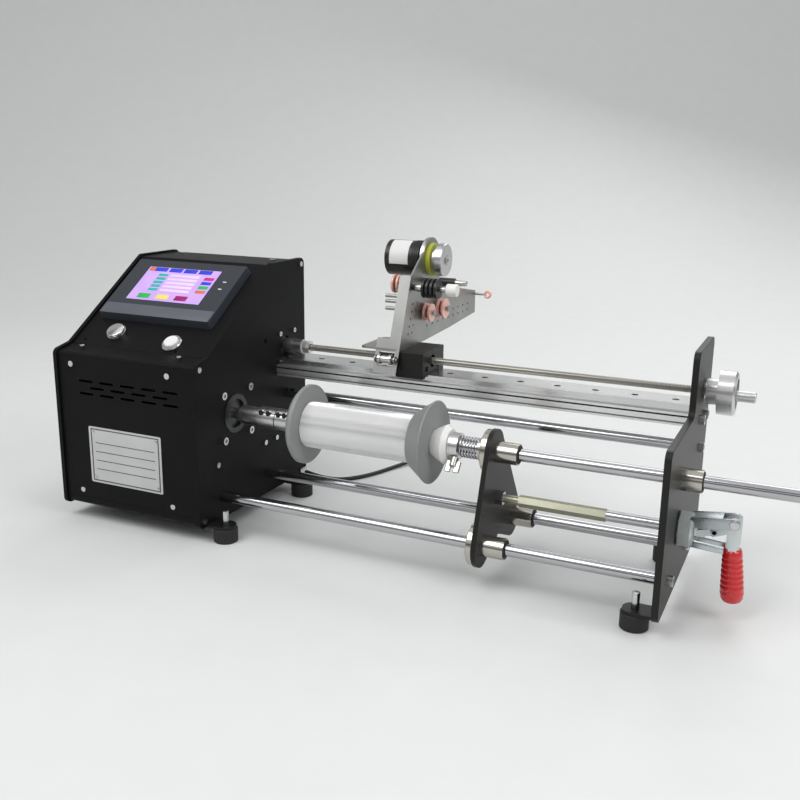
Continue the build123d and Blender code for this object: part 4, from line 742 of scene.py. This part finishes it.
class WINDER_OT_guide(bpy.types.Operator):
    """Encoder label and ribs, a ring of painted highlight on the bracket's edge, groove rings of
    painted shade, roller and pins of the wire guide
    """
    bl_idname = "winder.guide"
    bl_label = "Wire guide"

    LABEL_LOW = -14            # the label's edges round the encoder, in degrees
    LABEL_HIGH = 78
    GROOVES = (                # wheel, y and z of its axle, x of the groove, groove's radius
        ("upper", 0.139, 0.233, 0.1662, 0.0067), ("rear", 0.180, 0.232, 0.1662, 0.0082),
        ("left", 0.130, 0.264, 0.1312, 0.0072),
    )

    def rings(self):
        y, z = ENCODER_Y, ENCODER_Z
        for i, x in enumerate((0.1438, 0.1465, 0.1492)):
            flat_ring(0.0192, 0.0204, 0.0012, "encoder_rib_%d" % i, "rubber", "carriage",
                      (X0 + x, y, z))
        # a bright ring: painted highlight on the black bracket plate's edge
        flat_ring(0.0150, 0.0244, 0.0030, "bracket_edge", "rail", "carriage",
                  (X0 + 0.1562, y, z), 96)
        flat_ring(0.0046, 0.0060, 0.0003, "wheel_mark", "steel", "measure",
                  (X0 + 0.1789, y, z), 48)
        # dark rings: painted shade inside each guide wheel's groove
        for name, dy, z, x, r in self.GROOVES:
            flat_ring(r - 0.001, r, 0.0036, "groove_" + name, "groove", "wheel_" + name,
                      (X0 + x, Y0 + dy, z), 56)

    def label(self):
        """A paper label: part of a cylinder's wall, given a thickness."""
        y, z = ENCODER_Y, ENCODER_Z
        nothing_selected()
        bpy.ops.mesh.primitive_cylinder_add(vertices=96, radius=0.0202, depth=0.023,
                                            location=(X0 + 0.1285, y, z),
                                            rotation=(0, math.pi / 2, 0))
        wrap = bpy.context.object
        bpy.ops.object.transform_apply(location=True, rotation=True, scale=True)
        bm = bmesh.new()
        bm.from_mesh(wrap.data)
        outside = []
        for f in bm.faces:
            c = f.calc_center_median()
            a = math.degrees(math.atan2(c.z - z, -(c.y - y)))
            if abs(f.normal.x) > 0.5 or not (self.LABEL_LOW < a < self.LABEL_HIGH):
                outside.append(f)
        bmesh.ops.delete(bm, geom=outside, context="FACES")
        bm.to_mesh(wrap.data)
        bm.free()
        paper = wrap.modifiers.new("paper", "SOLIDIFY")
        paper.thickness = 0.00025
        paper.offset = 1
        apply_modifier(wrap, paper.name)
        settle(wrap, "encoder_label", "label", "carriage", 30)

    def execute(self, context):
        self.rings()
        self.label()
        y, z = TENSION_Y, TENSION_Z
        rod(X0 + 0.2068, y, z, 0.0067, 0.0122, "tension_roller", "white", "tension", 48, "X", 0.001)
        rod(X0 + 0.1963, y, z, 0.0031, 0.0090, "tension_pin", "steel", "tension", 24)
        rod(X0 + 0.1690, y, z, 0.0042, 0.0095, "tension_hub", "steel", "tension", 32)
        rod(X0 + 0.2, KNURL_Y, KNURL_Z, 0.0031, 0.0235, "knurl_pin", "steel", "knurl", 24)
        return {"FINISHED"}


class WINDER_OT_hardware(bpy.types.Operator):
    """Seal rings, foot studs, the beam's lips, painted shade in its slots and in the coupling's
    screw pockets
    """
    bl_idname = "winder.hardware"
    bl_label = "Hardware"

    SEAL = [(0.0, 0.0063), (0.0, 0.0094), (0.0007, 0.0090), (0.0007, 0.0067)]
    SEAL_OFF = 0.028           # from the bushing's plate to its seal
    BEAM_FRONT = Y0 + 0.085
    BEAM_MID = X0 + 0.23475
    BEAM_LONG = 0.4690
    BEAM_LINES = (             # name, finish, height, width, how far it stands out
        ("beam_lip_top", "alu", 0.1652, 0.0014, 0.0005),
        # painted shade: the two slot strips stand for the shade inside the beam's slots
        ("beam_slot_a", "dark", 0.1626, 0.0016, 0.0002),
        ("beam_face", "alu", 0.1590, 0.0036, 0.0004),
        ("beam_slot_b", "shade", 0.1560, 0.0014, 0.0002),
        ("beam_lip_low", "alu", 0.1538, 0.0013, 0.0005),
    )

    def execute(self, context):
        for i, (x, dy, z, body) in enumerate((
            (TAIL_PLATE_X, 0, AXIS_Z, "tailstock"), (TAIL_PLATE_X, -0.030, ROD_LOW_Z, "tailstock"),
            (TAIL_PLATE_X, 0.060, ROD_LOW_Z, "tailstock"), (END_BUSH_X, 0, AXIS_Z, "frame"),
        )):
            ring_turned(self.SEAL, "seal_%d" % i, "rubber", body,
                        (x + self.SEAL_OFF, Y0 + dy, z), 48)
        for i, (dx, dy) in enumerate((
            (0.0164, -0.049), (0.0164, 0.111), (0.452, -0.049), (0.452, 0.111),
        )):
            rod(X0 + dx, Y0 + dy, 0.0264, 0.00355, 0.0156, "foot_stud_%d" % i, "screw", "frame",
                32, "Z", 0.0004)
        for name, mat, z, h, out in self.BEAM_LINES:
            box((self.BEAM_MID, self.BEAM_FRONT - out / 2, z), (self.BEAM_LONG, out, h),
                name, mat, "frame")
        # dark discs: painted shade inside the coupling's screw pockets
        for i, dx in enumerate((0.039, 0.0478, 0.0602, 0.0676)):
            rod(X0 + dx, Y0 - 0.0101, AXIS_Z + 0.008, 0.0029, 0.0004, "pocket_%d" % i, "dark",
                "spindle", 24, "Y", 0)
        return {"FINISHED"}


class WINDER_OT_grip(bpy.types.Operator):
    """Body, straps and handle of the toggle clamp and its dipped red grip"""
    bl_idname = "winder.grip"
    bl_label = "Toggle clamp"

    STRAP_OFF = 0.0088         # from the clamp's middle to a strap
    CHEEK_OFF = 0.0064         # to one of the handle's cheeks
    HEAD_OFF = 0.0108          # to the pivot pin's head
    SIDES = ((-1, "front"), (1, "rear"))
    GRIP_TOP = 0.0690
    GRIP_R = 0.0105
    GRIP_LEAN = -4.5           # degrees that the grip hangs off upright
    LEAN_Z = 0.066             # height it leans about
    RIB_TOP = 0.0635
    RIB_STEP = 0.0050
    RIB_END = 0.026

    def body(self):
        """The nut on the end plate, two straps each side and the bridge between them."""
        x, face = PIVOT_X, END_FACE_X
        nut = ring_turned([(0, 0.0053), (0, 0.0155), (0.0016, 0.0172), (0.0120, 0.0172),
                           (0.0140, 0.0150), (0.0140, 0.0053)],
                          "clamp_nut", "cast", "frame", (face, CLAMP_Y, CLAMP_Z), 8)
        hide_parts("toggle_base")
        straps = (
            ("upper", [(face + 0.011, 0.0848), (face + 0.011, 0.0948), (x - 0.0015, 0.0996),
                       (x + 0.0025, 0.0990), (x + 0.0050, 0.0966), (x + 0.0054, 0.0940),
                       (x + 0.0042, 0.0910), (x + 0.0015, 0.0894), (x - 0.0015, 0.0892)]),
            ("lower", [(face + 0.011, 0.0674), (face + 0.011, 0.0726), (x - 0.0070, 0.0706),
                       (x - 0.0070, 0.0654)]),
        )
        for side, end in self.SIDES:
            for name, outline in straps:
                flat_plate(outline, CLAMP_Y + side * self.STRAP_OFF, 0.0024,
                           "clamp_%s_%s" % (name, end), "zinc", "frame")
        bridge = [(face + 0.0118, 0.0936), (face + 0.0118, 0.0948), (x - 0.0105, 0.0982),
                  (x - 0.0105, 0.0970)]
        flat_plate(bridge, CLAMP_Y, 0.0150, "clamp_bridge", "neck", "frame")

    def handle(self):
        """Two cranked cheeks on the pivot pin and the stem inside the grip."""
        x, z = PIVOT_X, PIVOT_Z
        cheek = [(x - 0.0036, 0.0640), (x - 0.0036, 0.0700), (x - 0.0056, 0.0715),
                 (x - 0.0056, 0.0835), (x - 0.0180, 0.0788), (x - 0.0202, 0.0845),
                 (x - 0.0040, z + 0.0042), (x, z + 0.0052), (x + 0.0040, z + 0.0042),
                 (x + 0.0056, z), (x + 0.0056, 0.0715), (x + 0.0036, 0.0700),
                 (x + 0.0036, 0.0640)]
        for side, end in self.SIDES:
            plate = flat_plate(cheek, CLAMP_Y + side * self.CHEEK_OFF, 0.0016,
                               "handle_cheek_" + end, "neck", "handle")
            rod(x, CLAMP_Y + side * self.HEAD_OFF, z, 0.0042, 0.0016, "pin_head_" + end,
                "screw", "handle", 32, "Y", 0.0005)
        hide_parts("toggle_handle")
        rod(x, CLAMP_Y, z, 0.0024, 0.0210, "pivot_pin", "screw", "handle", 24, "Y")
        rod(x, CLAMP_Y, 0.0655, 0.0042, 0.0090, "handle_stem", "neck", "handle", 32, "Z")

    def red_grip(self):
        """A dipped grip with ribs all the way down, a little wider at the bottom."""
        outline = [(self.GRIP_TOP, 0.0055), (0.0685, 0.0076), (0.0660, 0.0084)]
        z = self.RIB_TOP
        while z > self.RIB_END:
            wide = self.GRIP_R - 0.0016 * max(0, z - 0.032) / 0.0315
            outline += [(z, wide - 0.0001), (z - 0.0014, wide), (z - 0.0028, wide - 0.0001),
                        (z - 0.0036, wide - 0.0006)]
            z -= self.RIB_STEP
        outline += [(0.0225, 0.0099), (0.0195, 0.0084), (0.0178, 0.0055), (0.0171, 0.0),
                    (self.GRIP_TOP, 0.0)]
        obj = spun([(r, 0, z) for z, r in outline], (0, 0, 1), 64)
        obj.matrix_world = (Matrix.Translation((PIVOT_X, CLAMP_Y, self.LEAN_Z))
                            @ Matrix.Rotation(math.radians(self.GRIP_LEAN), 4, "Y")
                            @ Matrix.Translation((0, 0, -self.LEAN_Z)))
        settle(obj, "ribbed_grip", "red", "handle", 60)
        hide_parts("red_grip")

    def execute(self, context):
        self.body()
        self.handle()
        self.red_grip()
        return {"FINISHED"}


OPERATORS = (WINDER_OT_stage, WINDER_OT_cords, WINDER_OT_cad_finishes, WINDER_OT_console,
             WINDER_OT_windings, WINDER_OT_guide, WINDER_OT_hardware, WINDER_OT_grip)


class WINDER_PT_panel(bpy.types.Panel):
    """Settings and steps of the winder, in the sidebar"""
    bl_label = "Wire coil winder"
    bl_idname = "WINDER_PT_panel"
    bl_space_type = "VIEW_3D"
    bl_region_type = "UI"
    bl_category = "Winder"

    def draw(self, context):
        for group in (context.scene.winder_sizes, context.scene.winder_finishes):
            for key in group.__annotations__:
                self.layout.prop(group, key)
        for op in OPERATORS:
            self.layout.operator(op.bl_idname)


CLASSES = (WinderSizes, WinderFinishes) + OPERATORS + (WINDER_PT_panel,)


def register():
    for cls in CLASSES:
        bpy.utils.register_class(cls)
    bpy.types.Scene.winder_sizes = bpy.props.PointerProperty(type=WinderSizes)
    bpy.types.Scene.winder_finishes = bpy.props.PointerProperty(type=WinderFinishes)


def unregister():
    del bpy.types.Scene.winder_finishes
    del bpy.types.Scene.winder_sizes
    for cls in reversed(CLASSES):
        bpy.utils.unregister_class(cls)


def main():
    register()
    make_finishes()
    bpy.ops.winder.stage()
    bpy.ops.winder.cords()
    bpy.ops.winder.cad_finishes()
    bpy.ops.winder.console()
    bpy.ops.winder.windings()
    bpy.ops.winder.guide()
    bpy.ops.winder.hardware()
    bpy.ops.winder.grip()


if __name__ == "__main__":
    main()
